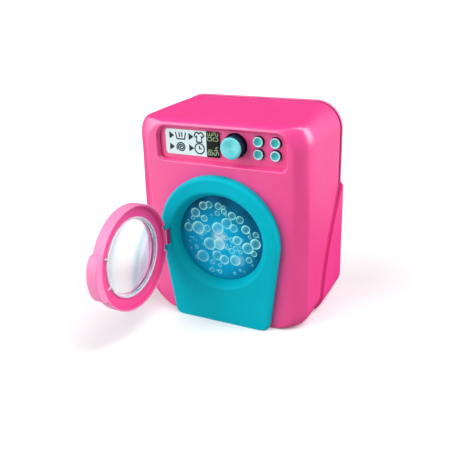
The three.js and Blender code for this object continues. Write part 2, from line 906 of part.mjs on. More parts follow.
// Spur gear outline with involute flanks, drawn round the origin with a tooth along the given angle
function gearShape(teeth, phase) {
  const pitchRadius = (gearModule * teeth) / 2;
  const baseRadius = pitchRadius * Math.cos(pressureAngle);
  const tipRadius = pitchRadius + addendumShare * gearModule;
  const rootRadius = pitchRadius - dedendumShare * gearModule;
  const involute = (radius) => {
    const angle = Math.acos(Math.min(1, baseRadius / radius));
    return Math.tan(angle) - angle;
  };
  const halfAtPitch = Math.PI / (2 * teeth) - backlash / (2 * pitchRadius);
  const flankStart = Math.max(baseRadius, rootRadius);
  const radii = [flankStart, pitchRadius, tipRadius];
  const halfAngles = radii.map((radius) => halfAtPitch + involute(pitchRadius) - involute(radius));
  const points = [];
  for (let tooth = 0; tooth < teeth; tooth++) {
    const middle = phase + (2 * Math.PI * tooth) / teeth;
    const place = (radius, angle) => new THREE.Vector2(radius * Math.cos(angle), radius * Math.sin(angle));
    points.push(place(rootRadius, middle - halfAngles[0]));
    radii.forEach((radius, i) => points.push(place(radius, middle - halfAngles[i])));
    [...radii].reverse().forEach((radius, i) => points.push(place(radius, middle + halfAngles.at(-1 - i))));
    points.push(place(rootRadius, middle + halfAngles[0]));
  }
  return new THREE.Shape(points.filter((point, i) => i === 0 || point.distanceTo(points[i - 1]) > 0));
}

// Gear places: the idler sits left of the line from drum to knob, so that both meshes close
const drumToIdler = (gearModule * (drumTeeth + idlerTeeth)) / 2;
const idlerToKnob = (gearModule * (idlerTeeth + knobTeeth)) / 2;
const drumCorner =
  (drumToIdler ** 2 + knobDistance ** 2 - idlerToKnob ** 2) / (2 * drumToIdler * knobDistance);
const idlerAngle = knobOffset.angle() + Math.acos(Math.min(1, drumCorner));
const idlerX = drumToIdler * Math.cos(idlerAngle);
const idlerZ = drumHeight + drumToIdler * Math.sin(idlerAngle);
const knobFromIdler = Math.atan2(stripHeight - idlerZ, knobMiddle - idlerX);

// Teeth meet gaps: each phase is counted from the line between two gear centres
const drumPhase = idlerAngle;
const idlerPhase = idlerAngle + Math.PI + Math.PI / idlerTeeth;
const idlerAhead = idlerPhase - knobFromIdler;
const knobPhase = knobFromIdler + Math.PI - (idlerAhead * idlerTeeth) / knobTeeth + Math.PI / knobTeeth;

function gearBlank(x, z, teeth, phase) {
  const body = slab(gearShape(teeth, phase), gearDepth, gearDepth + gearThickness);
  return body.translate([x, 0, z]);
}

function bubbleDisc() {
  const hubEnd = gearDepth + gearThickness + seatGap;
  const boreStart = discDepth + discThickness + seatGap;
  const bore = axleRadius + seatGap;
  const radius = wellRadius + discOverlap;
  return turned(
    [
      [0, discDepth],
      [radius, discDepth],
      [radius, discDepth + discThickness],
      [hubRadius, discDepth + discThickness],
      [hubRadius, hubEnd],
      [bore, hubEnd],
      [bore, boreStart],
      [0, boreStart],
    ],
    0,
    drumHeight,
    roundSegments,
  );
}

function drumGear() {
  const pitchRadius = (gearModule * drumTeeth) / 2;
  const rimInner = pitchRadius - dedendumShare * gearModule - gearRimWidth;
  const collar = hubRadius + seatGap + wall;
  const back = gearDepth + gearThickness;
  let body = gearBlank(0, drumHeight, drumTeeth, drumPhase);
  const webBack = gearDepth + gearWebThickness;
  body = body.subtract(tube(0, drumHeight, collar, rimInner, webBack, back + overrun, roundSegments));
  body = body.subtract(rod(0, drumHeight, hubRadius + seatGap, gearDepth - overrun, back + overrun));
  const ringRadius = (collar + rimInner) / 2;
  for (let i = 0; i < lighteningHoles; i++) {
    const angle = (2 * Math.PI * i) / lighteningHoles;
    const x = ringRadius * Math.cos(angle);
    const z = drumHeight + ringRadius * Math.sin(angle);
    body = body.subtract(rod(x, z, lighteningRadius, gearDepth - overrun, back + overrun, screwSegments));
  }
  return body;
}

function idlerGear() {
  const back = gearDepth + gearThickness;
  const spacer = bracketDepth - seatGap;
  const hub = rod(idlerX, idlerZ, idlerHubRadius, back - seatGap, spacer);
  const bore = rod(idlerX, idlerZ, axleRadius + seatGap, gearDepth - overrun, spacer + overrun);
  return gearBlank(idlerX, idlerZ, idlerTeeth, idlerPhase).add(hub).subtract(bore);
}

function idlerScrew() {
  const headBack = gearDepth - seatGap;
  const head = rod(idlerX, idlerZ, idlerHubRadius, headBack - screwHeadThickness, headBack);
  const tip = headBack + buttonScrewLength;
  const shank = rod(idlerX, idlerZ, buttonScrewRadius, headBack - seatGap, tip, screwSegments);
  return head.add(shank);
}

// Bracket: a plate over the drum with a tongue up to the knob, an axle and an idler post
function gearBracket() {
  const back = bracketBack;
  const wide = roundedRectangle(
    -bracketHalfWidth,
    bracketHalfWidth,
    drumHeight - bracketHalfHeight,
    drumHeight + bracketHalfHeight,
    bracketCorner,
  );
  const tongue = roundedRectangle(
    Math.min(idlerX, knobMiddle) - bracketTongueLeft,
    knobMiddle + bracketTongueRight,
    drumHeight,
    stripHeight + bracketTongueTop,
    bracketCorner,
  );
  const plates = [wide, tongue].map((shape) => slab(shape, bracketDepth, back, plateArcSegments));
  let body = joined(plates);
  const axleStart = discDepth + discThickness + 2 * seatGap;
  body = body.add(rod(0, drumHeight, axleRadius, axleStart, bracketDepth + seatGap));
  body = body.add(rod(0, drumHeight, hubRadius, gearDepth + gearThickness + 2 * seatGap, bracketDepth + seatGap));
  body = body.add(rod(idlerX, idlerZ, axleRadius, gearDepth, bracketDepth + seatGap));
  const screwHole = buttonScrewRadius + seatGap;
  const screwEnd = gearDepth + buttonScrewLength;
  body = body.subtract(rod(idlerX, idlerZ, screwHole, gearDepth - overrun, screwEnd, screwSegments));
  body = body.subtract(rod(knobMiddle, stripHeight, axleRadius + seatGap, bracketDepth - overrun, back + overrun));
  for (const [x, z] of bracketScrewPlaces()) {
    const hole = bracketScrewRadius + seatGap;
    body = body.subtract(rod(x, z, hole, bracketDepth - overrun, back + overrun, screwSegments));
  }
  return body;
}

// Knob: a domed cap with a deep skirt, on a shaft moulded with its pinion
function controlKnob() {
  const front = -knobProud;
  const edge = front + knobDome;
  const skirt = knobSkirtDepth;
  const socket = axleRadius + seatGap;
  return turned(
    [
      [0, front],
      [knobRadius / 2, front + knobDome / 4],
      [knobRadius - knobEdge, edge],
      [knobRadius - knobEdge / 4, edge + knobEdge / 2],
      [knobRadius, edge + knobEdge + seatGap],
      [knobRadius, skirt],
      [socket, skirt],
      [socket, knobSocketDepth],
      [0, knobSocketDepth],
    ],
    knobMiddle,
    stripHeight,
    smallSegments * 2,
  );
}

function knobShaft() {
  const shaftEnd = bracketBack + seatGap + clipThickness + knobShaftTail;
  const spacer = bracketDepth - seatGap;
  const back = gearDepth + gearThickness;
  const shaft = rod(knobMiddle, stripHeight, axleRadius, knobSocketDepth + seatGap, shaftEnd);
  const collar = rod(knobMiddle, stripHeight, idlerHubRadius, back - seatGap, spacer);
  const neck = rod(knobMiddle, stripHeight, hubRadius, knobSkirtDepth + seatGap, gearDepth + seatGap);
  return gearBlank(knobMiddle, stripHeight, knobTeeth, knobPhase).add(shaft).add(collar).add(neck);
}

function knobClip() {
  const start = bracketBack + seatGap;
  return tube(knobMiddle, stripHeight, axleRadius + seatGap, clipRadius, start, start + clipThickness);
}

// Push button, drawn round the origin's depth line and then placed
function pushButton() {
  const front = pocketDepth - buttonProud;
  const flangeFront = floorDepth + seatGap;
  const flangeBack = flangeFront + buttonFlangeThickness;
  return turned(
    [
      [0, front + buttonDish],
      [(buttonRadius - buttonRim) / 2, front + buttonDish],
      [buttonRadius - buttonRim, front + buttonDish / 3],
      [buttonRadius - buttonRim / 2, front],
      [buttonRadius, front + buttonDish / 3],
      [buttonRadius, flangeFront],
      [buttonRadius + buttonFlange, flangeFront],
      [buttonRadius + buttonFlange, flangeBack],
      [spigotRadius, flangeBack],
      [spigotRadius, flangeBack + spigotLength],
      [0, flangeBack + spigotLength],
    ],
    0,
    0,
  );
}

const springStart = floorDepth + 2 * seatGap + buttonFlangeThickness;
const springEnd = buttonPlateDepth - seatGap;

class SpringLine extends THREE.Curve {
  getPoint(share, target = new THREE.Vector3()) {
    const angle = 2 * Math.PI * springTurns * share;
    const depth = THREE.MathUtils.lerp(springStart + springWire, springEnd - springWire, share);
    return target.set(springRadius * Math.cos(angle), frontY + depth, springRadius * Math.sin(angle));
  }
}

function buttonSpring() {
  const section = new THREE.Shape();
  section.absarc(0, 0, springWire, 0, 2 * Math.PI, false);
  const geometry = new THREE.ExtrudeGeometry(section, {
    steps: Math.round(springTurns * springStepsPerTurn),
    curveSegments: springHalfSides,
    bevelEnabled: false,
    extrudePath: new SpringLine(),
  });
  return solid(geometry);
}

function buttonPlate() {
  const left = buttonMiddle - buttonPitchX / 2 - buttonPlateMargin;
  const right = buttonMiddle + buttonPitchX / 2 + buttonPlateMargin;
  const bottom = stripHeight - buttonPitchZ / 2 - buttonPlateMargin;
  const top = stripHeight + buttonPitchZ / 2 + buttonPlateMargin;
  const back = buttonPlateDepth + buttonPlateThickness;
  const outline = roundedRectangle(left, right, bottom, top, labelCorner);
  let body = slab(outline, buttonPlateDepth, back, plateArcSegments);
  for (const [x, z] of buttonPlaces()) {
    const post = rod(x, z, spigotRadius, buttonPlateDepth - spigotLength, buttonPlateDepth + seatGap, screwSegments);
    body = body.add(post);
  }
  const hole = buttonScrewRadius + seatGap;
  return body.subtract(rod(buttonMiddle, stripHeight, hole, buttonPlateDepth - overrun, back + overrun, screwSegments));
}

function buttonPlateScrew() {
  const headDepth = buttonPlateDepth + buttonPlateThickness + seatGap;
  const length = buttonPlateThickness + buttonScrewLength - seatGap;
  return screw(headDepth, buttonScrewHead, buttonScrewRadius, length);
}

// Label and display lie side by side on the pocket's floor
function controlLabel() {
  const back = pocketDepth - seatGap;
  const shape = new THREE.Shape();
  const bottom = stripHeight - labelHeight / 2;
  const top = stripHeight + labelHeight / 2;
  shape.moveTo(labelRight, bottom);
  shape.lineTo(labelRight, top);
  shape.lineTo(labelLeft + labelCorner, top);
  shape.absarc(labelLeft + labelCorner, top - labelCorner, labelCorner, Math.PI / 2, Math.PI, false);
  shape.absarc(labelLeft + labelCorner, bottom + labelCorner, labelCorner, Math.PI, 1.5 * Math.PI, false);
  return slab(shape, back - labelThickness, back, plateArcSegments);
}

function displayWindow() {
  const back = pocketDepth - seatGap;
  const left = labelRight + seatGap;
  const bottom = stripHeight - labelHeight / 2;
  const shape = roundedRectangle(left, left + displayWidth, bottom, bottom + labelHeight, displayCorner);
  return slab(shape, back - displayThickness, back, plateArcSegments);
}

// Assembly
const machine = new THREE.Group();
machine.add(
  piece("front_shell", frontShell(), shellPink),
  piece("rear_shell", rearShell(), rearPink),
  piece("arch_panel", archPanel(), teal),
  piece("control_label", controlLabel(), labelMint),
  piece("display_window", displayWindow(), displayBlack),
  piece("gear_bracket", gearBracket(), bracketGrey),
  piece("bubble_disc", bubbleDisc(), bubbleBlue),
  piece("drum_gear", drumGear(), gearWhite),
  piece("idler_gear", idlerGear(), gearWhite),
  piece("idler_screw", idlerScrew(), steel),
  piece("control_knob", controlKnob(), knobBlue),
  piece("knob_shaft", knobShaft(), gearWhite),
  piece("knob_clip", knobClip(), steel),
  piece("button_plate", buttonPlate(), bracketGrey),
  piece("hinge_pin", hingePin(), steel),
);

// Pieces that repeat are drawn round the origin's depth line, and each copy is set in its place
function addCopies(name, body, material, places) {
  places.forEach(([x, z], index) => {
    const copy = piece(places.length > 1 ? `${name}_${index + 1}` : name, body, material);
    copy.position.set(x, 0, z);
    machine.add(copy);
  });
}

addCopies("push_button", pushButton(), buttonTeal, buttonPlaces());
addCopies("button_spring", buttonSpring(), steel, buttonPlaces());
addCopies("housing_screw", housingScrew(), steel, shellScrewPlaces());
addCopies("bracket_screw", bracketScrew(), steel, bracketScrewPlaces());
addCopies("button_plate_screw", buttonPlateScrew(), steel, [[buttonMiddle, stripHeight]]);

const door = new THREE.Group();
door.position.set(hingeX, hingeY, 0);
door.rotation.z = THREE.MathUtils.degToRad(-doorOpenAngle);
const doorPieces = [
  piece("door_frame", doorFrame(), doorPink),
  piece("door_trim", doorTrim(), trimMagenta),
  piece("door_window", doorWindow(), clearPlastic),
];
for (const mesh of doorPieces) {
  mesh.position.set(-hingeX, -hingeY, 0);
  door.add(mesh);
}
machine.add(door);

export default machine;
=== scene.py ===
"""Looks of the toy washing machine: shells, arch, drum, door and control strip, round the fixed frame."""
import math
import random
from functools import partial

import bmesh
import bpy
from mathutils import Matrix, Vector


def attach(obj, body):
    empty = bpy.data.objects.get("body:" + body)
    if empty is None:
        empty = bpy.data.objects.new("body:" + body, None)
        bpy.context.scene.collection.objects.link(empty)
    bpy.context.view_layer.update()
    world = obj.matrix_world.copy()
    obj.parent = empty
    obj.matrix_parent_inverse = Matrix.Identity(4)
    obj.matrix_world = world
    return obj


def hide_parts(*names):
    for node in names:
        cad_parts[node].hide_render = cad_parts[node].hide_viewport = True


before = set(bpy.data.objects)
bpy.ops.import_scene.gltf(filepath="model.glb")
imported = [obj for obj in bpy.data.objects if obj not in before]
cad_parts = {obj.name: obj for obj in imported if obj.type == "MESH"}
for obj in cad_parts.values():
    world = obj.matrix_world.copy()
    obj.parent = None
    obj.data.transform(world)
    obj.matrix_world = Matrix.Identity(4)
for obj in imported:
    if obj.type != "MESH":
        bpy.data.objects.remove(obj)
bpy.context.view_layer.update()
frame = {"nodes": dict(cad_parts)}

# A millimetre in metres, and a quarter turn in radians
MM = 0.001
QUARTER_TURN = math.pi / 2

# Sizes in millimetres, as the frame has them. A depth counts back from the flat pink front face.
BODY_WIDTH = 143
BODY_DEPTH = 90
BODY_HEIGHT = 165
WALL = 2.2
GAP = 0.3
OVERRUN = 1

BEND_HEIGHT = 85
BEND_BLEND = 2
FACE_INSET = 12
FACE_TOP_DROP = 6.2
FACE_CORNER_RADIUS = 17
FACE_FOOT_RADIUS = 17
FACE_MARGIN = 5
FACE_EDGE_ROUND = 1.5
BROW_DEPTH = 2.6
BROW_LOW_INSET = 7.9
BROW_HIGH_INSET = 7.4
BROW_TOP_DROP = 4.2
BROW_CORNER_RADIUS = 18.6
BROW_CORNER_DROP = 21.1
BROW_FOOT_RADIUS = 18
SHOULDER_DEPTH = 6.5
SHOULDER_LOW_INSET = 1.7
SHOULDER_HIGH_INSET = 3.5
SHOULDER_TOP_DROP = 3.3
SHOULDER_CORNER_RADIUS = 21
SHOULDER_CORNER_DROP = 18
SHOULDER_FOOT_RADIUS = 19
WAIST_DEPTH = 12
WAIST_INSET = 1.3
WAIST_TOP_DROP = 3.1
WAIST_CORNER_DROP = 18.4
WAIST_FOOT_RADIUS = 18
CREASE_ROUND = 2.6
LOW_ROUND = 1.2
HIGH_ROUND = 1.9
RIM_CORNER_RADIUS = 21
RIM_FOOT_RADIUS = 16
RIM_PLATE = 1.5
BEAD_RISE = 0.8
BEAD_WIDTH = 3
BEAD_ROUND = 0.7
GROOVE_WIDTH = 1.8
GROOVE_DROP = 1.3

SEAM_TOP_HEIGHT = 101
SEAM_FOOT_DEPTH = 34
SEAM_UPPER_PULL_SHARES = (0.55, 0.69)
SEAM_LOWER_PULL_SHARES = (0.06, 0.45)
LIP_FLARE = 2.2
LIP_FRONT_FLARE = 0.8
LIP_KINK = 6
REAR_EDGE_ROUND = 1.5
SEAM_BAND_WIDTH = 1.7
SEAM_BAND_RISE = 0.45
SEAM_GROOVE_WIDTH = 0.7
SEAM_GROOVE_DROP = 0.9

BOSS_RADIUS = 4.5
BOSS_SIDE_INSET = 17
BOSS_FOOT_HEIGHT = 17
BOSS_TOP_DROP = 45
BOSS_MEET_DEPTH = 46
BOSS_FLOOR = 4
DRIVER_HOLE_RADIUS = 3.4
DRIVER_RIM_ROUND = 0.6

ARCH_RAISE = 7
ARCH_POCKET_GAP = 7.2
ARCH_FOOT_GAP = 22.5
ARCH_LIFT = 2
ARCH_FOOT_INSET = 9
ARCH_FOOT_RADIUS = 5
ARCH_ROUND = 3
ARCH_BORDER = 10.6
WELL_TAPER = 4
WELL_TUBE = 2
WELL_TUBE_DEPTH = 1.3
WELL_EDGE_ROUND = 1.8
DISC_THICKNESS = 1.5
DISC_OVERLAP = 1.4

STRIP_RISE = 1.65
POCKET_MIDDLE = 2.1
POCKET_SIDE_INSET = 19.2
POCKET_HALF_HEIGHT = 13.65
POCKET_MARGIN = 1.8
POCKET_DEPTH = 4
POCKET_TOP_RADIUS = 9
POCKET_FOOT_RADIUS = 4.5
POCKET_RIM_ROUND = 0.8
POCKET_FLOOR_ROUND = 1.2
LABEL_INSET = 6
LABEL_KNOB_GAP = 15.1
LABEL_HEIGHT = 20.6
PRINTED_TOP_DROP = 1.3
LABEL_THICKNESS = 0.5
LABEL_CORNER = 2.6
DISPLAY_WIDTH = 10.4
DISPLAY_THICKNESS = 0.8
DISPLAY_CORNER = 0.8
PRINT_THICKNESS = 0.06
INK_WIDTH = 0.98
ICON_HALF = 3.9
ARROW_HALF_WIDTH = 2.1
ARROW_HALF_HEIGHT = 2.8
DIGIT_WIDTH = 2.4
DIGIT_HEIGHT = 3.7
DIGIT_PITCH = 3.6
DIGIT_STROKE = 0.72
DIGIT_TRIM = 0.2
LINE_PITCH = 4.8

KNOB_TO_BUTTONS = 24.9
KNOB_RADIUS = 8.1
KNOB_PROUD = 5.6
KNOB_EDGE_ROUND = 1.5
KNOB_DISH = 0.5
KNOB_SKIRT_DEPTH = 8
KNOB_GAP = 1.1
BUTTON_RADIUS = 3.8
BUTTON_SIDE_INSET = 33
BUTTON_PITCH_X = 13
BUTTON_PITCH_Z = 9.3
BUTTON_PROUD = 2.4
BUTTON_DISH = 0.9
BUTTON_RIM = 1
HOLE_RIM_ROUND = 0.35

DOOR_OPEN_ANGLE = math.radians(93)
DOOR_LAP = 0.6
DOOR_BORDER = 11
DOOR_CLEARANCE = 0.5
DOOR_WALL = 2.2
DOOR_FRONT_THICKNESS = 1.8
DOOR_RECESS = 4.2
DOOR_TRIM_THICKNESS = 1.5
DOOR_EDGE_ROUND = 1.5
DOOR_LIP_WALL = 1.1
LINING_WALL = 0.9
LINING_DROP = 0.4
NOTCH_HALF_HEIGHT = 10.9
NOTCH_DEPTH = 2.2
COLLAR_RISE = 1.6
COLLAR_WIDTH = 1.3
WINDOW_THICKNESS = 1.2
WINDOW_FLANGE = 4.5
WINDOW_DOME = 4
WINDOW_BOWL_POWER = 2.3
CLIP_ANGLE = math.radians(21)
CLIP_REACH = 3.4
CLIP_HALF_WIDTH = 1.3
HANDLE_REACH = 5.5
HANDLE_HALF_HEIGHT = 18
HANDLE_HALF_DEPTH = 9
HINGE_RADIUS = 2.2
HINGE_PIN_RADIUS = 1
HINGE_BARREL_HALF = 6.2
HINGE_EAR = 4.2
HINGE_WEB = 2.6

# Counts of steps along curves, and the step of the seam where its raised edge starts
ARC_STEPS = 14
FOOT_STEPS = 10
SIDE_STEPS = 14
WALL_STEPS = 30
CREASE_STEPS = 5
ROUND_STEPS = 6
SEAM_STEPS = 40
TURN_STEPS = 128
SMALL_TURN_STEPS = 64
SPIRAL_STEPS = 64
SEAM_BAND_START = 2

# How meshes are finished
MERGE_DISTANCE = 0.01
SHARP_ANGLE = math.radians(38)
NORMAL_WEIGHT = 80

# Values that follow from the sizes
FRONT_Y = ARCH_RAISE - BODY_DEPTH / 2
RIM_DEPTH = BODY_DEPTH - ARCH_RAISE
SPLIT_DEPTH = RIM_DEPTH - RIM_PLATE
GROOVE_DEPTH = SPLIT_DEPTH - BEAD_WIDTH - GROOVE_WIDTH
HALF_WIDTH = BODY_WIDTH / 2
POCKET_TOP = BODY_HEIGHT - FACE_TOP_DROP - POCKET_MARGIN
POCKET_FOOT = POCKET_TOP - 2 * POCKET_HALF_HEIGHT
POCKET_HALF_WIDTH = HALF_WIDTH - POCKET_SIDE_INSET
STRIP_HEIGHT = POCKET_TOP - POCKET_HALF_HEIGHT + STRIP_RISE
BUTTON_MIDDLE = HALF_WIDTH - BUTTON_SIDE_INSET
KNOB_MIDDLE = BUTTON_MIDDLE - KNOB_TO_BUTTONS
LABEL_LEFT = POCKET_MIDDLE - POCKET_HALF_WIDTH + LABEL_INSET
LABEL_RIGHT = KNOB_MIDDLE - KNOB_RADIUS - LABEL_KNOB_GAP
LABEL_FOOT = STRIP_HEIGHT - LABEL_HEIGHT / 2
LABEL_TOP = STRIP_HEIGHT + LABEL_HEIGHT / 2 - PRINTED_TOP_DROP
LABEL_FRONT = POCKET_DEPTH - GAP - LABEL_THICKNESS
DISPLAY_LEFT = LABEL_RIGHT + GAP
DISPLAY_FRONT = POCKET_DEPTH - GAP - DISPLAY_THICKNESS
ARCH_TOP = POCKET_FOOT - ARCH_POCKET_GAP
ARCH_HEIGHT = (ARCH_TOP + ARCH_FOOT_GAP) / 2
ARCH_RADIUS = (ARCH_TOP - ARCH_FOOT_GAP) / 2
ARCH_FOOT_HALF = ARCH_RADIUS - ARCH_FOOT_INSET
WELL_FRONT_RADIUS = ARCH_RADIUS - ARCH_BORDER
WELL_RADIUS = WELL_FRONT_RADIUS - WELL_TAPER
DRUM_HEIGHT = ARCH_HEIGHT - ARCH_LIFT
DISC_DEPTH = WELL_TUBE_DEPTH + GAP
DOOR_RADIUS = WELL_FRONT_RADIUS + DOOR_LAP
WINDOW_RADIUS = DOOR_RADIUS - DOOR_BORDER
HINGE_DEPTH = -ARCH_RAISE - GAP - HINGE_RADIUS
HINGE_X = -(DOOR_RADIUS + GAP + HINGE_RADIUS)
DOOR_BACK = -ARCH_RAISE - DOOR_CLEARANCE
TRIM_BACK = DOOR_BACK - DOOR_RECESS
TRIM_FRONT = TRIM_BACK - DOOR_TRIM_THICKNESS
WINDOW_BACK = TRIM_FRONT - GAP
WINDOW_FRONT = WINDOW_BACK - WINDOW_THICKNESS
FRAME_SEAT = WINDOW_FRONT - GAP
DOOR_FRONT = FRAME_SEAT - DOOR_FRONT_THICKNESS
TRIM_RADIUS = DOOR_RADIUS - DOOR_WALL - GAP
SLIM_GAP = GAP / 3
TRIM_SEAT = TRIM_BACK + SLIM_GAP
COLLAR_RADIUS = WINDOW_RADIUS + COLLAR_WIDTH
RIM_CORNER_DROP = BEAD_RISE + RIM_CORNER_RADIUS

# Looks. Tints are sRGB colours of 0 to 255, and the first values turn them into linear ones. A pair for
# roughness is its middle and how far it drifts.
TINT_RANGE = 255
DARK_LIMIT = 0.04045
DARK_SLOPE = 12.92
CURVE_OFFSET = 0.055
CURVE_POWER = 2.4
PLASTICS = {
    # name: first tint, second tint, roughness, gloss level, coat weight
    "pink_plastic": ((242, 50, 140), (246, 57, 145), 0.42, 1, 0.6),
    # painted shade for the grooves: a darker pink that stands in for their shade
    "groove_painted_shade_plastic": ((150, 18, 82), (158, 22, 88), 0.5, 0.2, 0),
    "rear_pink_plastic": ((236, 54, 138), (240, 60, 143), 0.36, 0.8, 0),
    "door_pink_plastic": ((238, 130, 178), (242, 138, 184), 0.4, 0.3, 0),
    "trim_magenta_plastic": ((236, 72, 144), (240, 78, 150), 0.34, 0.4, 0),
    # the hinge barrel's magenta, painted darker as the shade at the hinge
    "hinge_magenta_painted_shade_plastic": ((176, 26, 96), (184, 32, 102), 0.4, 0.3, 0),
    "teal_plastic": ((0, 172, 190), (0, 180, 198), 0.5, 0.06, 0),
    # painted shade on the side walls of the knob and the buttons
    "wall_painted_shade_teal_plastic": ((6, 46, 66), (10, 56, 76), 0.5, 0.2, 0),
    "button_rim_plastic": ((186, 226, 236), (194, 232, 240), 0.36, 0.5, 0),
    "button_cap_plastic": ((36, 172, 174), (44, 182, 184), 0.36, 0.5, 0),
    "label_film": ((214, 238, 240), (222, 243, 244), 0.42, 0.5, 0),
    "display_plastic": ((10, 14, 12), (16, 22, 18), 0.2, 0.5, 0),
    "ink": ((8, 30, 40), (12, 38, 50), 0.5, 0.5, 0),
    "digit_print": ((138, 160, 118), (152, 172, 132), 0.5, 0.5, 0),
    "gear_plastic": ((228, 226, 218), (236, 234, 228), 0.45, 0.5, 0),
    "bracket_plastic": ((178, 180, 184), (188, 190, 194), 0.5, 0.5, 0),
}
PLASTIC_SPREAD = 0.04
COAT_ROUGHNESS = 0.4
COAT_IOR = 1.7
CLOUD_SCALE = 28
SCUFF_SCALE = 160
GRAIN_SCALE = 2600
GRAIN_STRENGTH = 0.02
GRAIN_DEPTH = 0.1
SMOOTH_DETAIL = 1
PLAIN_DETAIL = 2
WATER_DETAIL = 3
SCUFF_DETAIL = 4
NOISE_RANGE = (0.3, 0.7)

STEEL_TINT = (190, 194, 200)
STEEL_ROUGHNESS = (0.35, 0.08)
DARK_METAL_SHARE = 0.8

# Places across the window, in millimetres from its middle, and the tint there: slanting bands of painted
# reflection on clear plastic
WINDOW_REFLECTION_TINTS = (
    (-27, (206, 218, 226)), (-20, (222, 232, 238)), (-12, (248, 252, 253)), (-4, (255, 255, 255)),
    (8, (255, 255, 255)), (12, (226, 242, 247)), (15.5, (196, 222, 232)), (19, (230, 238, 246)),
    (23, (206, 208, 232)), (27, (232, 228, 242)),
)
WINDOW_REFLECTION_HALF_SPAN = 30
WINDOW_REFLECTION_SLANT = (0, 0.88, -0.48)
WINDOW_REFLECTION_SWAY = 2.5
CLEAR_TRANSMISSION = 0.92
CLEAR_IOR = 1.3
CLEAR_ROUGHNESS = (0.17, 0.05)
MILKY_TINTS = ((228, 226, 238), (240, 240, 248))
MILKY_TRANSMISSION = 0.3
MILKY_ROUGHNESS = (0.3, 0.05)

# The knob's two tints, mixed in sectors about its middle as painted sheen of a turned face
KNOB_SHEEN_TINTS = ((88, 202, 212), (122, 220, 226))
KNOB_ROUGHNESS = (0.36, 0.04)
KNOB_SHEEN_SECTORS = 2
KNOB_SHEEN_TURN = 1

# The drum's print. A glow spot is its x, z, reach and strength, from the middle of the drum.
BUBBLE_COUNT = 76
BUBBLE_SEED = 11
BUBBLE_LEAST = 0.7
BUBBLE_MOST = 5.4
BUBBLE_SIZE_POWER = 2.4
BUBBLE_FIELD = 33
BUBBLE_TRIES = 60
BUBBLE_SPACE_SHARE = 0.8
BUBBLE_STRENGTHS = (0.65, 1.15)
BUBBLE_TINT = (168, 255, 250)
BUBBLE_RING_POWER = 7
BUBBLE_FILM_SHARE = 0.1
GLINT_SLANT = (-0.7, 0, 0.7)
GLINT_POWER = 3
FAR_GLINT_SHARE = 0.5
# The print's blue, darkened towards the top and edges as painted shade of the well's rim
WATER_UNSHADED_PLACE = (-6, 0, -8)
WATER_SHADE_START_RADIUS = 15
WATER_SHADE_FULL_RADIUS = 42
WATER_AND_SHADE_TINTS = ((0, 186, 232), (0, 58, 80), (0, 140, 196))
WATER_CLOUD_SCALE = 60
WATER_CLOUD_SHARE = 0.5
GLOW_SPOTS = ((-2, 1, 9, 0.9), (-1, -6, 6, 0.6), (15, -17, 7, 0.4), (-18, 2, 5, 0.35))
GLOW_TINT = (214, 248, 252)
GLOW_CLOUD_SCALE = 220
GLOW_LEAST_SHARE = 0.25
PRINT_ROUGHNESS = (0.34, 0.06)
PRINT_GLOSS_LEVEL = 0.08

# Stage. Azimuth 0 is in front of the object and 90 is on its right.
CAMERA_TARGET = Vector((0, 2, 80))
CAMERA_AZIMUTH = 26.4
CAMERA_ELEVATION = 23.23
CAMERA_ROLL = math.radians(-2.39)
CAMERA_DISTANCE = 493.6
CAMERA_SIDESTEP = 12.5
CAMERA_DROP = 13.5
CAMERA_LENS = 47.79
CAMERA_SENSOR = 36
FLOOR_HALF = 12000
VIEW_REACH = 4 * FLOOR_HALF
FLOOR_TONE = 0.5
FLOOR_SEEN_TONE = 0.88
FLOOR_SEEN_GLOW = 0.02
POOL_ACROSS = (1, -0.56, 0)
POOL_BACK = (0, 2.2, 0)
POOL_BACK_PLACE = 150
POOL_BRIGHT_PLACE = -60
POOL_DIM_PLACE = 110
REAR_POOL_DIM_PLACE = 200
REAR_POOL_BRIGHT_PLACE = 700
REAR_POOL_LEVEL = 0.3
WORLD_LEVEL = 0.16
WORLD_GLOSS_LEVEL = 0.06
WHITE = (1, 1, 1, 1)

# Azimuth and elevation of the direction towards each lamp, its strength and its spread
LAMPS = {
    "key_lamp": (-48, 28, 3.3, 65),
    "side_lamp": (113, 24, 3, 55),
    "high_lamp": (80, 66, 1.4, 25),
}


# Meshes
def add_piece(name, points, faces):
    """A new mesh object from points in millimetres."""
    mesh = bpy.data.meshes.new(name)
    mesh.from_pydata([Vector(point) * MM for point in points], [], faces)
    piece = bpy.data.objects.new(name, mesh)
    bpy.context.scene.collection.objects.link(piece)
    edited = bmesh.new()
    edited.from_mesh(mesh)
    bmesh.ops.recalc_face_normals(edited, faces=edited.faces)
    edited.to_mesh(mesh)
    edited.free()
    return piece


def loft(rings, name="tool"):
    """A skin over rings of equally many points, with its ends capped."""
    count = len(rings[0])
    last = (len(rings) - 1) * count
    faces = []
    for start in range(0, last, count):
        for i in range(count):
            j = (i + 1) % count
            faces.append((start + i, start + j, start + count + j, start + count + i))
    faces.append(tuple(range(count)))
    faces.append(tuple(range(last, last + count)))
    return add_piece(name, [point for ring in rings for point in ring], faces)


def at_depth(outline, depth):
    return [(x, FRONT_Y + depth, z) for x, z in outline]


def slab(outline, front, back, name="tool"):
    return loft([at_depth(outline, front), at_depth(outline, back)], name)


def box(left, right, middle, half_height, front, back):
    foot = middle - half_height
    top = middle + half_height
    return slab([(right, foot), (right, top), (left, top), (left, foot)], front, back)


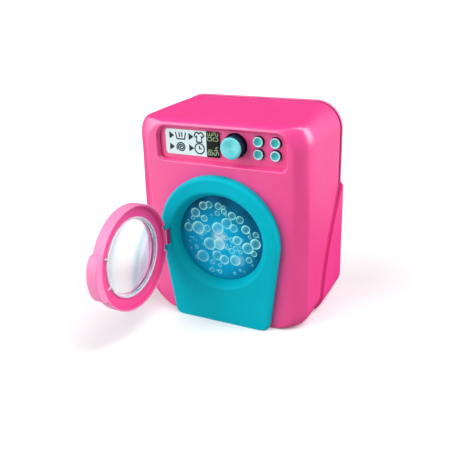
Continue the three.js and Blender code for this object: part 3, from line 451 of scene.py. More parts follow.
def turned(profile, name="tool", x=0, z=DRUM_HEIGHT, steps=TURN_STEPS):
    """A profile of (radius, depth) pairs turned about a line that runs from front to back."""
    points = []
    rings = []
    for radius, depth in profile:
        first = len(points)
        if radius == 0:
            points.append((x, FRONT_Y + depth, z))
            rings.append([first] * steps)
        else:
            points += at_depth(circle(x, z, radius, steps), depth)
            rings.append(range(first, first + steps))
    starts_open = profile[0][0] != 0
    following = rings[1:] + (rings[:1] if starts_open else [])
    faces = []
    for lower, upper in zip(rings, following):
        for i in range(steps):
            j = (i + 1) % steps
            face = tuple(dict.fromkeys((lower[i], lower[j], upper[j], upper[i])))
            if len(face) > 2:
                faces.append(face)
    return add_piece(name, points, faces)


def combine(operation, piece, *tools):
    """Joins each tool to the piece, or cuts it away, and removes the tool."""
    for tool in tools:
        modifier = piece.modifiers.new("combine", "BOOLEAN")
        modifier.operation = operation
        modifier.solver = "EXACT"
        modifier.object = tool
        bpy.context.view_layer.update()
        evaluated = piece.evaluated_get(bpy.context.evaluated_depsgraph_get())
        mesh = bpy.data.meshes.new_from_object(evaluated)
        piece.modifiers.clear()
        piece.data = mesh
        bpy.data.objects.remove(tool)


cut = partial(combine, "DIFFERENCE")
keep = partial(combine, "INTERSECT")
join = partial(combine, "UNION")


def paint(piece, test):
    """Gives the second material to faces by a test of their middle's x, depth and z."""
    for face in piece.data.polygons:
        x, y, z = face.center / MM
        if test(x, y - FRONT_Y, z):
            face.material_index = 1


def smooth(piece):
    """Smooth faces with sharp edges kept, and normals that follow the large faces."""
    edited = bmesh.new()
    edited.from_mesh(piece.data)
    bmesh.ops.remove_doubles(edited, verts=edited.verts, dist=MERGE_DISTANCE * MM)
    for face in edited.faces:
        face.smooth = True
    for edge in edited.edges:
        edge.smooth = len(edge.link_faces) == 2 and edge.calc_face_angle() < SHARP_ANGLE
    edited.to_mesh(piece.data)
    edited.free()
    modifier = piece.modifiers.new("even_normals", "WEIGHTED_NORMAL")
    modifier.keep_sharp = True
    modifier.weight = NORMAL_WEIGHT


def set_up(piece, materials, body, slot, *nodes):
    """A finished piece gets its materials, rides on its body and stands for the nodes."""
    for material in materials:
        piece.data.materials.append(material)
    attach(piece, body)
    if nodes:
        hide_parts(*nodes)


def finish(piece, materials, body, slot, *nodes):
    smooth(piece)
    set_up(piece, materials, body, slot, *nodes)


# Outlines in the plane of the front face, as (x, z) pairs
def lerp(a, b, share):
    return a + (b - a) * share


def ease(share):
    return share * share * (3 - 2 * share)


def even_shares(steps):
    return [i / steps for i in range(steps + 1)]


def arc(x, z, radius, start, end, steps=ARC_STEPS):
    """Points along an arc, with its angles in quarter turns."""
    points = []
    for share in even_shares(steps):
        angle = lerp(start, end, share) * QUARTER_TURN
        points.append((x + radius * math.cos(angle), z + radius * math.sin(angle)))
    return points


def rounded_rectangle(left, right, foot, top, foot_radius, top_radius):
    return [
        *arc(right - foot_radius, foot + foot_radius, foot_radius, -1, 0),
        *arc(right - top_radius, top - top_radius, top_radius, 0, 1),
        *arc(left + top_radius, top - top_radius, top_radius, 1, 2),
        *arc(left + foot_radius, foot + foot_radius, foot_radius, 2, 3),
    ]


def circle(x, z, radius, steps=SMALL_TURN_STEPS):
    return arc(x, z, radius, 0, 4, steps)[:-1]


def bezier(corners, share):
    """A point on the smooth curve that a row of corners pulls."""
    while len(corners) > 1:
        corners = [a.lerp(b, share) for a, b in zip(corners, corners[1:])]
    return tuple(corners[0])


def mirrored(points):
    return [(-x, z) for x, z in reversed(points)]


def grown(outline, amount):
    """The outline moved outwards by an even amount. It runs anticlockwise and has no doubled points."""
    spots = [Vector(point) for point in outline]
    moved = []
    for before, here, after in zip(spots[-1:] + spots, spots, spots[1:] + spots[:1]):
        along = (after - before).normalized()
        moved.append((here.x + along.y * amount, here.y - along.x * amount))
    return moved


def quarter_round(base, depth, radius, side, way):
    """(reach, depth) pairs from a radius beside the base, at the depth, to the base, a radius further on."""
    pairs = []
    for share in even_shares(ROUND_STEPS):
        angle = share * QUARTER_TURN
        reach = base + side * radius * (1 - math.sin(angle))
        pairs.append((reach, depth + way * radius * (1 - math.cos(angle))))
    return pairs


def grown_loft(outline, pairs):
    """A solid through the outline at (growth, depth) pairs."""
    return loft([at_depth(grown(outline, growth), depth) for growth, depth in pairs])


def hole_cutter(outline, start, end, rim, floor=0):
    """A cutter from one depth to another, with a rounded rim, and a rounded floor if it has one."""
    way = 1 if end > start else -1
    pairs = [(rim, start - way * OVERRUN), *quarter_round(0, start, rim, 1, way)]
    if floor:
        pairs += quarter_round(-floor, end, floor, 1, -way)[::-1]
    else:
        pairs.append((0, end))
    return grown_loft(outline, pairs)


# Housing sections
def section(low_inset, high_inset, top_drop, corner_drop, corner_radius, foot_radius):
    return {
        "low": HALF_WIDTH - low_inset,
        "high": HALF_WIDTH - high_inset,
        "bend": BEND_HEIGHT,
        "bend_top": BODY_HEIGHT - corner_drop - BEND_BLEND,
        "top": BODY_HEIGHT - top_drop,
        "corner_height": BODY_HEIGHT - corner_drop,
        "corner_radius": corner_radius,
        "foot_radius": foot_radius,
        "floor": 0,
    }


def inset(shape, amount, floor=None):
    smaller = dict(shape)
    for key in ("low", "high", "top", "corner_radius", "foot_radius"):
        smaller[key] -= amount
    smaller["floor"] = amount if floor is None else floor
    return smaller


def mixed(a, b, share):
    return {key: lerp(a[key], b[key], share) for key in a}


def corner_points(shape):
    """The corner's arc, then a soft crease where the flat top cuts it short."""
    radius = shape["corner_radius"]
    x = shape["high"] - radius
    z = shape["corner_height"]
    crease = math.asin(min(1, (shape["top"] - z) / radius))
    stop = crease - CREASE_ROUND / radius
    points = arc(x, z, radius, 0, stop / QUARTER_TURN)
    before = Vector(points.pop())
    peak = Vector((x + radius * math.cos(crease), shape["top"]))
    after = peak - Vector((CREASE_ROUND, 0))
    return points + [bezier([before, peak, after], share) for share in even_shares(CREASE_STEPS)]


def section_outline(shape):
    foot_radius = shape["foot_radius"]
    low = shape["low"]
    high = shape["high"]
    right = arc(low - foot_radius, shape["floor"] + foot_radius, foot_radius, -1, 0, FOOT_STEPS)
    for share in even_shares(SIDE_STEPS)[1:-1]:
        right.append((lerp(low, high, ease(share)), lerp(shape["bend"], shape["bend_top"], share)))
    right += corner_points(shape)
    return right + mirrored(right)


FACE = section(FACE_INSET, FACE_INSET, FACE_TOP_DROP, FACE_TOP_DROP + FACE_CORNER_RADIUS, FACE_CORNER_RADIUS,
               FACE_FOOT_RADIUS)
BROW = section(BROW_LOW_INSET, BROW_HIGH_INSET, BROW_TOP_DROP, BROW_CORNER_DROP, BROW_CORNER_RADIUS,
               BROW_FOOT_RADIUS)
SHOULDER = section(SHOULDER_LOW_INSET, SHOULDER_HIGH_INSET, SHOULDER_TOP_DROP, SHOULDER_CORNER_DROP,
                   SHOULDER_CORNER_RADIUS, SHOULDER_FOOT_RADIUS)
WAIST = section(WAIST_INSET, WAIST_INSET, WAIST_TOP_DROP, WAIST_CORNER_DROP, SHOULDER_CORNER_RADIUS,
                WAIST_FOOT_RADIUS)
RIM = section(BEAD_RISE, BEAD_RISE, BEAD_RISE, RIM_CORNER_DROP, RIM_CORNER_RADIUS, RIM_FOOT_RADIUS)
STATIONS = (
    (FACE, 0), (BROW, BROW_DEPTH), (SHOULDER, SHOULDER_DEPTH), (WAIST, WAIST_DEPTH), (RIM, GROOVE_DEPTH),
)


def rounded_value(key, depth, reach):
    """One measure of the front shell's section at a depth, with its bends at the stations rounded."""
    knots = [(station_depth, shape[key]) for shape, station_depth in STATIONS]
    slopes = [(after[1] - before[1]) / (after[0] - before[0]) for before, after in zip(knots, knots[1:])]
    leg = 0
    while leg < len(slopes) - 1 and depth > knots[leg + 1][0]:
        leg += 1
    value = knots[leg][1] + slopes[leg] * (depth - knots[leg][0])
    for i in range(1, len(slopes)):
        away = abs(depth - knots[i][0])
        if away < reach:
            value += (slopes[i] - slopes[i - 1]) * (reach - away) ** 2 / (4 * reach)
    return value


def front_shape(depth):
    """Section of the front shell's outside at a depth: crisp low down, rounder above the bend."""
    shape = {}
    for key in FACE:
        reach = LOW_ROUND if key in ("low", "foot_radius") else HIGH_ROUND
        shape[key] = rounded_value(key, depth, reach)
    return shape


def section_loft(stations, name="tool"):
    return loft([at_depth(section_outline(shape), depth) for shape, depth in stations], name)


def front_outer():
    """The face, its soft edge, the bevel and the wall, then the groove and the bead along the rear edge."""
    stations = [(inset(FACE, FACE_MARGIN), 0)]
    edge = FACE_EDGE_ROUND
    for share in even_shares(ROUND_STEPS):
        start = inset(FACE, edge * (1 - share))
        end = front_shape(edge / 2 * share)
        stations.append((mixed(start, end, share), edge / 2 * share * share))
    for share in even_shares(WALL_STEPS)[1:]:
        depth = lerp(edge / 2, GROOVE_DEPTH, share * share)
        stations.append((front_shape(depth), depth))
    bead_start = GROOVE_DEPTH + GROOVE_WIDTH
    rim_pairs = [
        (GROOVE_DROP, GROOVE_DEPTH + GROOVE_WIDTH / 4),
        (GROOVE_DROP, bead_start - GROOVE_WIDTH / 4),
        *quarter_round(-BEAD_RISE, bead_start, BEAD_ROUND, 1, 1),
        *quarter_round(-BEAD_RISE, SPLIT_DEPTH, BEAD_ROUND, 1, -1)[::-1],
        (BEAD_ROUND - BEAD_RISE, SPLIT_DEPTH + OVERRUN),
    ]
    stations += [(inset(RIM, amount, 0), depth) for amount, depth in rim_pairs]
    return section_loft(stations, "front_shell_look")


def front_inner():
    return section_loft([
        (inset(FACE, WALL), WALL),
        (inset(SHOULDER, WALL), SHOULDER_DEPTH + WALL),
        (inset(WAIST, WALL), WAIST_DEPTH + WALL),
        (inset(RIM, WALL), GROOVE_DEPTH),
        (inset(RIM, WALL), RIM_DEPTH + 2 * OVERRUN),
    ])


def seam_points():
    """(depth, height) pairs along the seam between the shells, from the rim to the foot."""
    run = SPLIT_DEPTH - SEAM_FOOT_DEPTH
    corners = [Vector((SPLIT_DEPTH, SEAM_TOP_HEIGHT))]
    for depth_share, height_share in (SEAM_UPPER_PULL_SHARES, SEAM_LOWER_PULL_SHARES):
        corners.append(Vector((SEAM_FOOT_DEPTH + depth_share * run, height_share * SEAM_TOP_HEIGHT)))
    corners.append(Vector((SEAM_FOOT_DEPTH, 0)))
    return [bezier(corners, share) for share in even_shares(SEAM_STEPS)]


def across(pairs):
    """A region drawn in depth and height that runs across the whole width."""
    half = HALF_WIDTH + LIP_FLARE + OVERRUN
    return loft([[(side * half, FRONT_Y + depth, z) for depth, z in pairs] for side in (-1, 1)])


def front_region():
    top = BODY_HEIGHT + OVERRUN
    foot = -OVERRUN
    return across([(foot, foot), (foot, top), (SPLIT_DEPTH, top), *seam_points(), (SEAM_FOOT_DEPTH, foot)])


def rear_region():
    top = BODY_HEIGHT + OVERRUN
    back = RIM_DEPTH + OVERRUN
    seam = [(depth + GAP, z - GAP) for depth, z in seam_points()]
    foot = [(SEAM_FOOT_DEPTH + GAP, -OVERRUN), (back, -OVERRUN)]
    return across([(back, top), (SPLIT_DEPTH + GAP, top), *seam, *foot])


def pocket_outline():
    left = POCKET_MIDDLE - POCKET_HALF_WIDTH
    right = POCKET_MIDDLE + POCKET_HALF_WIDTH
    return rounded_rectangle(left, right, POCKET_FOOT, POCKET_TOP, POCKET_FOOT_RADIUS, POCKET_TOP_RADIUS)


def button_places():
    places = []
    for row in (0.5, -0.5):
        for column in (-0.5, 0.5):
            places.append((BUTTON_MIDDLE + column * BUTTON_PITCH_X, STRIP_HEIGHT + row * BUTTON_PITCH_Z))
    return places


def screw_places():
    side = HALF_WIDTH - BOSS_SIDE_INSET
    return [(s * side, z) for s in (-1, 1) for z in (BOSS_FOOT_HEIGHT, BODY_HEIGHT - BOSS_TOP_DROP)]


def front_shell(material, painted_shade_material):
    """The front shell, with dark pink painted shade on its grooves. The cutters need both materials in
    place.
    """
    piece = front_outer()
    piece.data.materials.append(material)
    piece.data.materials.append(painted_shade_material)
    cut(piece, front_inner())
    join(piece, slab(grown(pocket_outline(), WALL), OVERRUN, POCKET_DEPTH + WALL))
    keep(piece, front_region())
    drum_hole = circle(0, DRUM_HEIGHT, WELL_RADIUS + WELL_TUBE + GAP, TURN_STEPS)
    cut(
        piece,
        seam_groove(-1),
        seam_groove(1),
        hole_cutter(pocket_outline(), 0, POCKET_DEPTH, POCKET_RIM_ROUND, POCKET_FLOOR_ROUND),
        slab(drum_hole, -OVERRUN, WALL + OVERRUN),
    )
    holes = [circle(KNOB_MIDDLE, STRIP_HEIGHT, KNOB_RADIUS + KNOB_GAP)]
    holes += [circle(x, z, BUTTON_RADIUS + GAP) for x, z in button_places()]
    for hole in holes:
        cut(piece, hole_cutter(hole, POCKET_DEPTH, POCKET_DEPTH + WALL + OVERRUN, HOLE_RIM_ROUND))
    # The rim groove's faces take the second material, dark pink painted shade.
    paint(piece, lambda x, depth, z: GROOVE_DEPTH < depth < GROOVE_DEPTH + GROOVE_WIDTH)
    finish(piece, (), "housing", "shell_pink", "front_shell")


def rear_shape(flare, rounding=0):
    shape = section(-flare, BEAD_RISE, BEAD_RISE, RIM_CORNER_DROP, RIM_CORNER_RADIUS, RIM_FOOT_RADIUS)
    shape["bend"] = SEAM_TOP_HEIGHT - LIP_KINK
    shape["bend_top"] = SEAM_TOP_HEIGHT
    return inset(shape, rounding, 0)


def rear_outer():
    start = SEAM_FOOT_DEPTH - SHOULDER_DEPTH
    stations = []
    for share in even_shares(SIDE_STEPS)[:-1]:
        flare = lerp(LIP_FRONT_FLARE, LIP_FLARE, share)
        stations.append((rear_shape(flare), lerp(start, RIM_DEPTH - REAR_EDGE_ROUND, share)))
    edge = quarter_round(0, RIM_DEPTH, REAR_EDGE_ROUND, 1, -1)[::-1]
    edge.append((2 * REAR_EDGE_ROUND + WALL, RIM_DEPTH))
    stations += [(rear_shape(LIP_FLARE, rounding), depth) for rounding, depth in edge]
    return section_loft(stations, "rear_shell_look")


def rear_inner():
    start = SEAM_FOOT_DEPTH - SHOULDER_DEPTH - OVERRUN
    front = inset(rear_shape(LIP_FRONT_FLARE), WALL)
    back = inset(rear_shape(LIP_FLARE), WALL)
    return section_loft([(front, start), (back, RIM_DEPTH - WALL)])


def rear_shell(material):
    piece = rear_outer()
    cut(piece, rear_inner())
    keep(piece, rear_region())
    start = BOSS_MEET_DEPTH + GAP
    for x, z in screw_places():
        join(piece, slab(circle(x, z, BOSS_RADIUS), start, RIM_DEPTH - RIM_PLATE / 2))
        hole = circle(x, z, DRIVER_HOLE_RADIUS)
        cut(piece, hole_cutter(hole, RIM_DEPTH, start + BOSS_FLOOR, DRIVER_RIM_ROUND))
    finish(piece, (material,), "housing", "rear_pink", "rear_shell")


def side_x(depth, z):
    """Half width of the front shell's outside at a depth and height, on its side."""
    outline = section_outline(front_shape(depth))
    right = outline[: len(outline) // 2]
    for (x0, z0), (x1, z1) in zip(right, right[1:]):
        if z0 <= z <= z1 and z1 > z0:
            return lerp(x0, x1, (z - z0) / (z1 - z0))
    return right[0][0]


def seam_loft(side, profile, name="tool"):
    """A solid along the seam on one side. The profile's (reach, rise) pairs run forwards from the seam."""
    spots = [Vector(pair) for pair in seam_points()][SEAM_BAND_START:]
    rings = []
    for before, here, after in zip(spots[:1] + spots, spots, spots[1:] + spots[-1:]):
        along = (after - before).normalized()
        forward = Vector((along.y, -along.x))
        ring = []
        for reach, rise in profile:
            spot = here + forward * reach
            height = max(spot.y, 0)
            ring.append((side * (side_x(spot.x, height) + rise), FRONT_Y + spot.x, height))
        rings.append(ring)
    return loft(rings, name)


def seam_band(name, side, material):
    """The raised edge of the front shell along the seam on one side."""
    profile = [(0, -WALL / 4)]
    for share in even_shares(ROUND_STEPS)[1:-1]:
        profile.append((share * SEAM_BAND_WIDTH, SEAM_BAND_RISE * math.sqrt(math.sin(math.pi * share))))
    profile.append((SEAM_BAND_WIDTH, -WALL / 4))
    finish(seam_loft(side, profile, name), (material,), "housing", "shell_pink")


def seam_groove(side):
    """A cutter for the narrow groove in front of the seam's raised edge. It leaves the second material, dark
    pink painted shade, on the groove.
    """
    near = SEAM_BAND_WIDTH
    far = near + SEAM_GROOVE_WIDTH
    profile = [(near, OVERRUN), (far, OVERRUN), (far, -SEAM_GROOVE_DROP), (near, -SEAM_GROOVE_DROP)]
    tool = seam_loft(side, profile)
    tool.data.materials.append(None)
    tool.data.materials.append(None)
    paint(tool, lambda x, depth, z: True)
    return tool


# Arch
def arch_outline(shrink):
    radius = ARCH_RADIUS - shrink
    foot = ARCH_FOOT_HALF - shrink
    reach = math.hypot(foot, ARCH_HEIGHT)
    tangent = math.acos(radius / reach) - math.atan2(ARCH_HEIGHT, foot)
    touch = Vector((radius * math.cos(tangent), ARCH_HEIGHT + radius * math.sin(tangent)))
    corner = Vector((foot, 0))
    up = corner + (touch - corner).normalized() * ARCH_FOOT_RADIUS
    start = Vector((foot - ARCH_FOOT_RADIUS, 0))
    right = [bezier([start, corner, up], share) for share in even_shares(FOOT_STEPS)]
    right += arc(0, ARCH_HEIGHT, radius, tangent / QUARTER_TURN, 1, 3 * ARC_STEPS)
    return right + mirrored(right[:-1])


def arch_panel(material):
    face = -ARCH_RAISE
    pairs = [*quarter_round(0, face, ARCH_ROUND, 1, 1), (0, -GAP)]
    piece = loft([at_depth(arch_outline(shrink), depth) for shrink, depth in pairs], "arch_panel_look")
    collar = circle(0, DRUM_HEIGHT, WELL_RADIUS + WELL_TUBE, TURN_STEPS)
    join(piece, slab(collar, face + ARCH_ROUND, WELL_TUBE_DEPTH))
    slope = WELL_TAPER / ARCH_RAISE
    well_back = WELL_TUBE_DEPTH + OVERRUN
    profile = [(0, face - OVERRUN), (WELL_FRONT_RADIUS + WELL_EDGE_ROUND, face - OVERRUN)]
    for radius, depth in quarter_round(WELL_FRONT_RADIUS, face, WELL_EDGE_ROUND, 1, 1):
        profile.append((radius - slope * (depth - face), depth))
    profile += [(WELL_RADIUS, 0), (WELL_RADIUS, well_back), (0, well_back)]
    cut(piece, turned(profile))
    for side in (-1, 1):
        join(piece, hinge_ear(DRUM_HEIGHT + side * (HINGE_BARREL_HALF + GAP + HINGE_EAR / 2)))
    cut(piece, upright_rod(HINGE_PIN_RADIUS + GAP, HINGE_BARREL_HALF + HINGE_EAR + OVERRUN))
    finish(piece, (material,), "housing", "teal", "arch_panel")


def upright_rod(radius, half, name="tool", middle=DRUM_HEIGHT):
    """A rod on the hinge's line."""
    rings = []
    for height in (middle - half, middle + half):
        rings.append([(HINGE_X + x, FRONT_Y + HINGE_DEPTH + y, height) for x, y in circle(0, 0, radius)])
    return loft(rings, name)


def hinge_ear(middle):
    half = HINGE_EAR / 2
    piece = upright_rod(HINGE_RADIUS, half, middle=middle)
    left = HINGE_X - HINGE_RADIUS
    right = HINGE_X + HINGE_RADIUS
    join(piece, box(left, right, middle, half, HINGE_DEPTH, GAP - ARCH_RAISE))
    return piece


def hinge_pin(material):
    piece = upright_rod(HINGE_PIN_RADIUS, HINGE_BARREL_HALF + GAP + HINGE_EAR, "hinge_pin_look")
    finish(piece, (material,), "housing", "steel", "hinge_pin")


# Door, drawn shut and then swung open about the hinge's line
def finish_door(piece, materials, slot, *nodes):
    pivot = Vector((HINGE_X, FRONT_Y + HINGE_DEPTH, 0)) * MM
    turn = Matrix.Translation(pivot) @ Matrix.Rotation(-DOOR_OPEN_ANGLE, 4, "Z") @ Matrix.Translation(-pivot)
    piece.data.transform(turn)
    finish(piece, materials, "door", slot, *nodes)


def door_frame(material):
    """Outer ring with a thin lip round the recess at its back, and the handle."""
    seat_wall = DOOR_RADIUS - DOOR_WALL
    lip_wall = DOOR_RADIUS - DOOR_LIP_WALL
    lip = DOOR_LIP_WALL / 3
    piece = turned([
        (WINDOW_RADIUS, FRAME_SEAT),
        *quarter_round(WINDOW_RADIUS, DOOR_FRONT, DOOR_FRONT_THICKNESS / 2, 1, 1)[::-1],
        *quarter_round(DOOR_RADIUS, DOOR_FRONT, DOOR_EDGE_ROUND, -1, 1),
        *quarter_round(DOOR_RADIUS, DOOR_BACK, lip, -1, -1)[::-1],
        *quarter_round(lip_wall, DOOR_BACK, lip, 1, -1),
        (lip_wall, TRIM_BACK),
        (seat_wall, TRIM_BACK),
        (seat_wall, FRAME_SEAT),
    ], "door_frame_look")
    join(piece, door_handle((seat_wall + DOOR_RADIUS) / 2))
    cut(piece, hinge_notch())
    web_front = HINGE_DEPTH - HINGE_WEB / 2
    web_right = DOOR_WALL / 2 - DOOR_RADIUS
    join(piece, box(HINGE_X, web_right, DRUM_HEIGHT, HINGE_BARREL_HALF, web_front, web_front + HINGE_WEB))
    cut(piece, upright_rod(HINGE_RADIUS + SLIM_GAP, HINGE_BARREL_HALF + OVERRUN))
    finish_door(piece, (material,), "door_pink", "door_frame")


def hinge_notch():
    """A cutter that opens the lip of the ring beside the hinge."""
    start = DOOR_BACK - NOTCH_DEPTH
    return box(HINGE_X, -WINDOW_RADIUS, DRUM_HEIGHT, NOTCH_HALF_HEIGHT, start, DOOR_BACK + OVERRUN)


def hinge_barrel(material):
    piece = upright_rod(HINGE_RADIUS, HINGE_BARREL_HALF, "hinge_barrel_look")
    cut(piece, upright_rod(HINGE_PIN_RADIUS + GAP, HINGE_BARREL_HALF + OVERRUN))
    # Its material is magenta painted darker as shade.
    finish_door(piece, (material,), "door_pink")


def door_handle(inner):
    """A rounded grip that stands out from the ring on the side away from the hinge."""
    middle = DOOR_RADIUS + HANDLE_REACH - HANDLE_HALF_DEPTH
    outline = []
    for x, z in circle(0, 0, 1):
        outline.append((middle + HANDLE_HALF_DEPTH * x, DRUM_HEIGHT + HANDLE_HALF_HEIGHT * z))
    piece = grown_loft(outline, [
        *quarter_round(0, DOOR_FRONT, DOOR_EDGE_ROUND, -1, 1),
        *quarter_round(0, DOOR_BACK, DOOR_WALL / 3, -1, -1)[::-1],
    ])
    outer = DOOR_RADIUS - DOOR_LIP_WALL / 2
    cut(
        piece,
        slab(circle(0, DRUM_HEIGHT, inner, TURN_STEPS), DOOR_FRONT - OVERRUN, TRIM_BACK),
        slab(circle(0, DRUM_HEIGHT, outer, TURN_STEPS), TRIM_BACK - OVERRUN, DOOR_BACK + OVERRUN),
    )
    return piece


def door_trim(material):
    """Inner ring: a flat band round the window and a thin lining of the recess's wall."""
    outer = DOOR_RADIUS - DOOR_LIP_WALL - SLIM_GAP
    inner = outer - LINING_WALL
    top = DOOR_BACK - LINING_DROP
    lip = LINING_WALL / 3
    piece = turned([
        (WINDOW_RADIUS, TRIM_FRONT),
        (TRIM_RADIUS, TRIM_FRONT),
        (TRIM_RADIUS, TRIM_SEAT),
        (outer, TRIM_SEAT),
        *quarter_round(outer, top, lip, -1, -1)[::-1],
        *quarter_round(inner, top, lip, 1, -1),
        *quarter_round(inner, TRIM_SEAT, DOOR_TRIM_THICKNESS / 2, -1, 1)[::-1],
        (WINDOW_RADIUS, TRIM_BACK),
    ], "door_trim_look")
    cut(piece, hinge_notch())
    finish_door(piece, (material,), "trim_magenta", "door_trim")


def door_window(material, edge_material):
    """A clear bowl held behind the trim, with its rounded rim standing over the trim's edge."""
    flange = WINDOW_RADIUS + WINDOW_FLANGE
    throat = WINDOW_RADIUS - GAP
    top = TRIM_BACK + COLLAR_RISE
    lip = COLLAR_WIDTH / 2
    bowl_radius = COLLAR_RADIUS - 2 * lip
    front = []
    back = []
    for share in even_shares(ARC_STEPS):
        radius = (WINDOW_RADIUS - WINDOW_THICKNESS) * share
        front.append((radius, WINDOW_FRONT - WINDOW_DOME * (1 - share * share)))
        fall = 1 - share ** WINDOW_BOWL_POWER
        back.insert(0, (bowl_radius * share, lerp(top - lip, WINDOW_BACK - WINDOW_DOME, fall)))
    piece = turned([
        *front,
        (flange, WINDOW_FRONT),
        (flange, WINDOW_BACK),
        (throat, WINDOW_BACK),
        (throat, TRIM_SEAT),
        (COLLAR_RADIUS, TRIM_SEAT),
        *arc(COLLAR_RADIUS - lip, top - lip, lip, 0, 2, 2 * ROUND_STEPS),
        *back[1:],
    ], "door_window_look")
    rim_start = bowl_radius - GAP
    paint(piece, lambda x, depth, z: depth > WINDOW_BACK and math.hypot(x, z - DRUM_HEIGHT) > rim_start)
    finish_door(piece, (material, edge_material), "clear", "door_window")


def window_clip(name, angle, material):
    """A small pointed tab of the window that snaps over the trim."""
    along = Vector((math.cos(angle), math.sin(angle)))
    side = Vector((-along.y, along.x)) * CLIP_HALF_WIDTH
    root = along * WINDOW_RADIUS
    outline = [root - side, along * (COLLAR_RADIUS + CLIP_REACH), root + side]
    rings = []
    levels = ((TRIM_BACK + GAP, 1), (TRIM_BACK + COLLAR_RISE / 2, 1), (TRIM_BACK + COLLAR_RISE, 1 / 2))
    for depth, share in levels:
        spots = [root.lerp(spot, share) for spot in outline]
        rings.append(at_depth([(spot.x, DRUM_HEIGHT + spot.y) for spot in spots], depth))
    finish_door(loft(rings, name), (material,), "clear")


# Drum
def bubble_disc(material):
    radius = WELL_RADIUS + DISC_OVERLAP
    front = DISC_DEPTH
    back = front + DISC_THICKNESS
    profile = [(0, front), (radius / 2, front), (radius - GAP, front), (radius, front + GAP)]
    profile += [(radius, back), (0, back)]
    piece = turned(profile, "bubble_disc_look")
    finish(piece, (material,), "drum", "bubble_blue", "bubble_disc")


# Control strip
def control_knob(material, painted_shade_wall_material):
    front = -KNOB_PROUD
    profile = []
    for share in even_shares(ROUND_STEPS):
        profile.append((share * (KNOB_RADIUS - KNOB_EDGE_ROUND), front + KNOB_DISH * (1 - ease(share))))
    profile += quarter_round(KNOB_RADIUS, front, KNOB_EDGE_ROUND, -1, 1)[1:]
    profile += [(KNOB_RADIUS, KNOB_SKIRT_DEPTH), (0, KNOB_SKIRT_DEPTH)]
    piece = turned(profile, "control_knob_look", KNOB_MIDDLE, STRIP_HEIGHT, SMALL_TURN_STEPS)
    # The knob's side wall takes the second material, dark teal painted shade.
    paint(piece, lambda x, depth, z: depth > front + KNOB_EDGE_ROUND)
    finish(piece, (material, painted_shade_wall_material), "knob", "knob_blue", "control_knob")


def button_rim(name, x, z):
    """The pale rim of a button, and its wall in dark teal painted shade."""
    front = POCKET_DEPTH - BUTTON_PROUD
    back = POCKET_DEPTH + WALL + GAP
    dish = BUTTON_RADIUS - BUTTON_RIM
    half = BUTTON_RIM / 2
    top = arc(dish + half, front + half, half, -2, 0, 2 * ROUND_STEPS)
    profile = [(dish, back), (dish, front + BUTTON_DISH / 2), *top, (BUTTON_RADIUS, back)]
    rim = turned(profile, f"{name}_rim", x, z, SMALL_TURN_STEPS)
    # The wall below the rim takes the second material, dark teal painted shade.
    paint(rim, lambda x, depth, z: depth > front + half)
    return rim


def button_cap(name, x, z):
    """The teal dish inside a button's rim."""
    front = POCKET_DEPTH - BUTTON_PROUD
    back = POCKET_DEPTH + GAP
    dish = BUTTON_RADIUS - BUTTON_RIM
    bowl = []
    for share in even_shares(ROUND_STEPS):
        bowl.append((share * dish, front + BUTTON_DISH - BUTTON_DISH / 2 * share * share))
    return turned([*bowl, (dish, back), (0, back)], f"{name}_cap", x, z, SMALL_TURN_STEPS)


def push_button(index, x, z, rim_material, cap_material, painted_shade_wall_material):
    name = f"push_button_{index}"
    body = f"button_{index}"
    finish(button_rim(name, x, z), (rim_material, painted_shade_wall_material), body, "button_teal", name)
    finish(button_cap(name, x, z), (cap_material,), body, "button_teal")


def strip_plate(name, outline, front, material, slot):
    """A flat plate on the floor of the control strip."""
    piece = slab(outline, front, POCKET_DEPTH - GAP, f"{name}_look")
    finish(piece, (material,), "housing", slot, name)


def control_label(material):
    left = LABEL_LEFT + LABEL_CORNER
    outline = [
        (LABEL_RIGHT, LABEL_FOOT),
        (LABEL_RIGHT, LABEL_TOP),
        *arc(left, LABEL_TOP - LABEL_CORNER, LABEL_CORNER, 1, 2),
        *arc(left, LABEL_FOOT + LABEL_CORNER, LABEL_CORNER, 2, 3),
    ]
    strip_plate("control_label", outline, LABEL_FRONT, material, "label_mint")


def display_window(material):
    right = DISPLAY_LEFT + DISPLAY_WIDTH
    outline = rounded_rectangle(DISPLAY_LEFT, right, LABEL_FOOT, LABEL_TOP, DISPLAY_CORNER, DISPLAY_CORNER)
    strip_plate("display_window", outline, DISPLAY_FRONT, material, "display_black")


# Printed symbols: flat strokes and fills a little proud of the label
def fill(points, depth):
    """Points and faces of a thin solid over an outline."""
    count = len(points)
    solid = at_depth(points, depth - PRINT_THICKNESS) + at_depth(points, depth)
    faces = [tuple(range(count)), tuple(range(count, 2 * count))]
    for i in range(count):
        j = (i + 1) % count
        faces.append((i, j, count + j, count + i))
    return solid, faces


def stroke(points, width, depth, closed=False):
    """Points and faces of a thin solid line of even width."""
    spots = [Vector(point) for point in points]
    count = len(spots)
    earlier = (spots[-1:] if closed else spots[:1]) + spots
    later = spots[1:] + (spots[:1] if closed else spots[-1:])
    solid = []
    for before, here, after in zip(earlier, spots, later):
        legs = [leg.normalized() for leg in (here - before, after - here) if leg.length > 0]
        along = sum(legs, Vector((0, 0))).normalized()
        spread = width / 2 / max(SHARPEST_TURN_SHARE, abs(along.dot(legs[0])))
        side = Vector((-along.y, along.x)) * spread
        for spot in (here + side, here - side):
            for level in (depth - PRINT_THICKNESS, depth):
                solid.append((spot.x, FRONT_Y + level, spot.y))
    faces = []
    for i in range(count if closed else count - 1):
        a = 4 * i
        b = 4 * ((i + 1) % count)
        faces += [(a, b, b + 2, a + 2), (a + 1, a + 3, b + 3, b + 1)]
        faces += [(a, a + 1, b + 1, b), (a + 2, b + 2, b + 3, a + 3)]
    if not closed:
        last = 4 * (count - 1)
        faces += [(0, 2, 3, 1), (last, last + 1, last + 3, last + 2)]
    return solid, faces


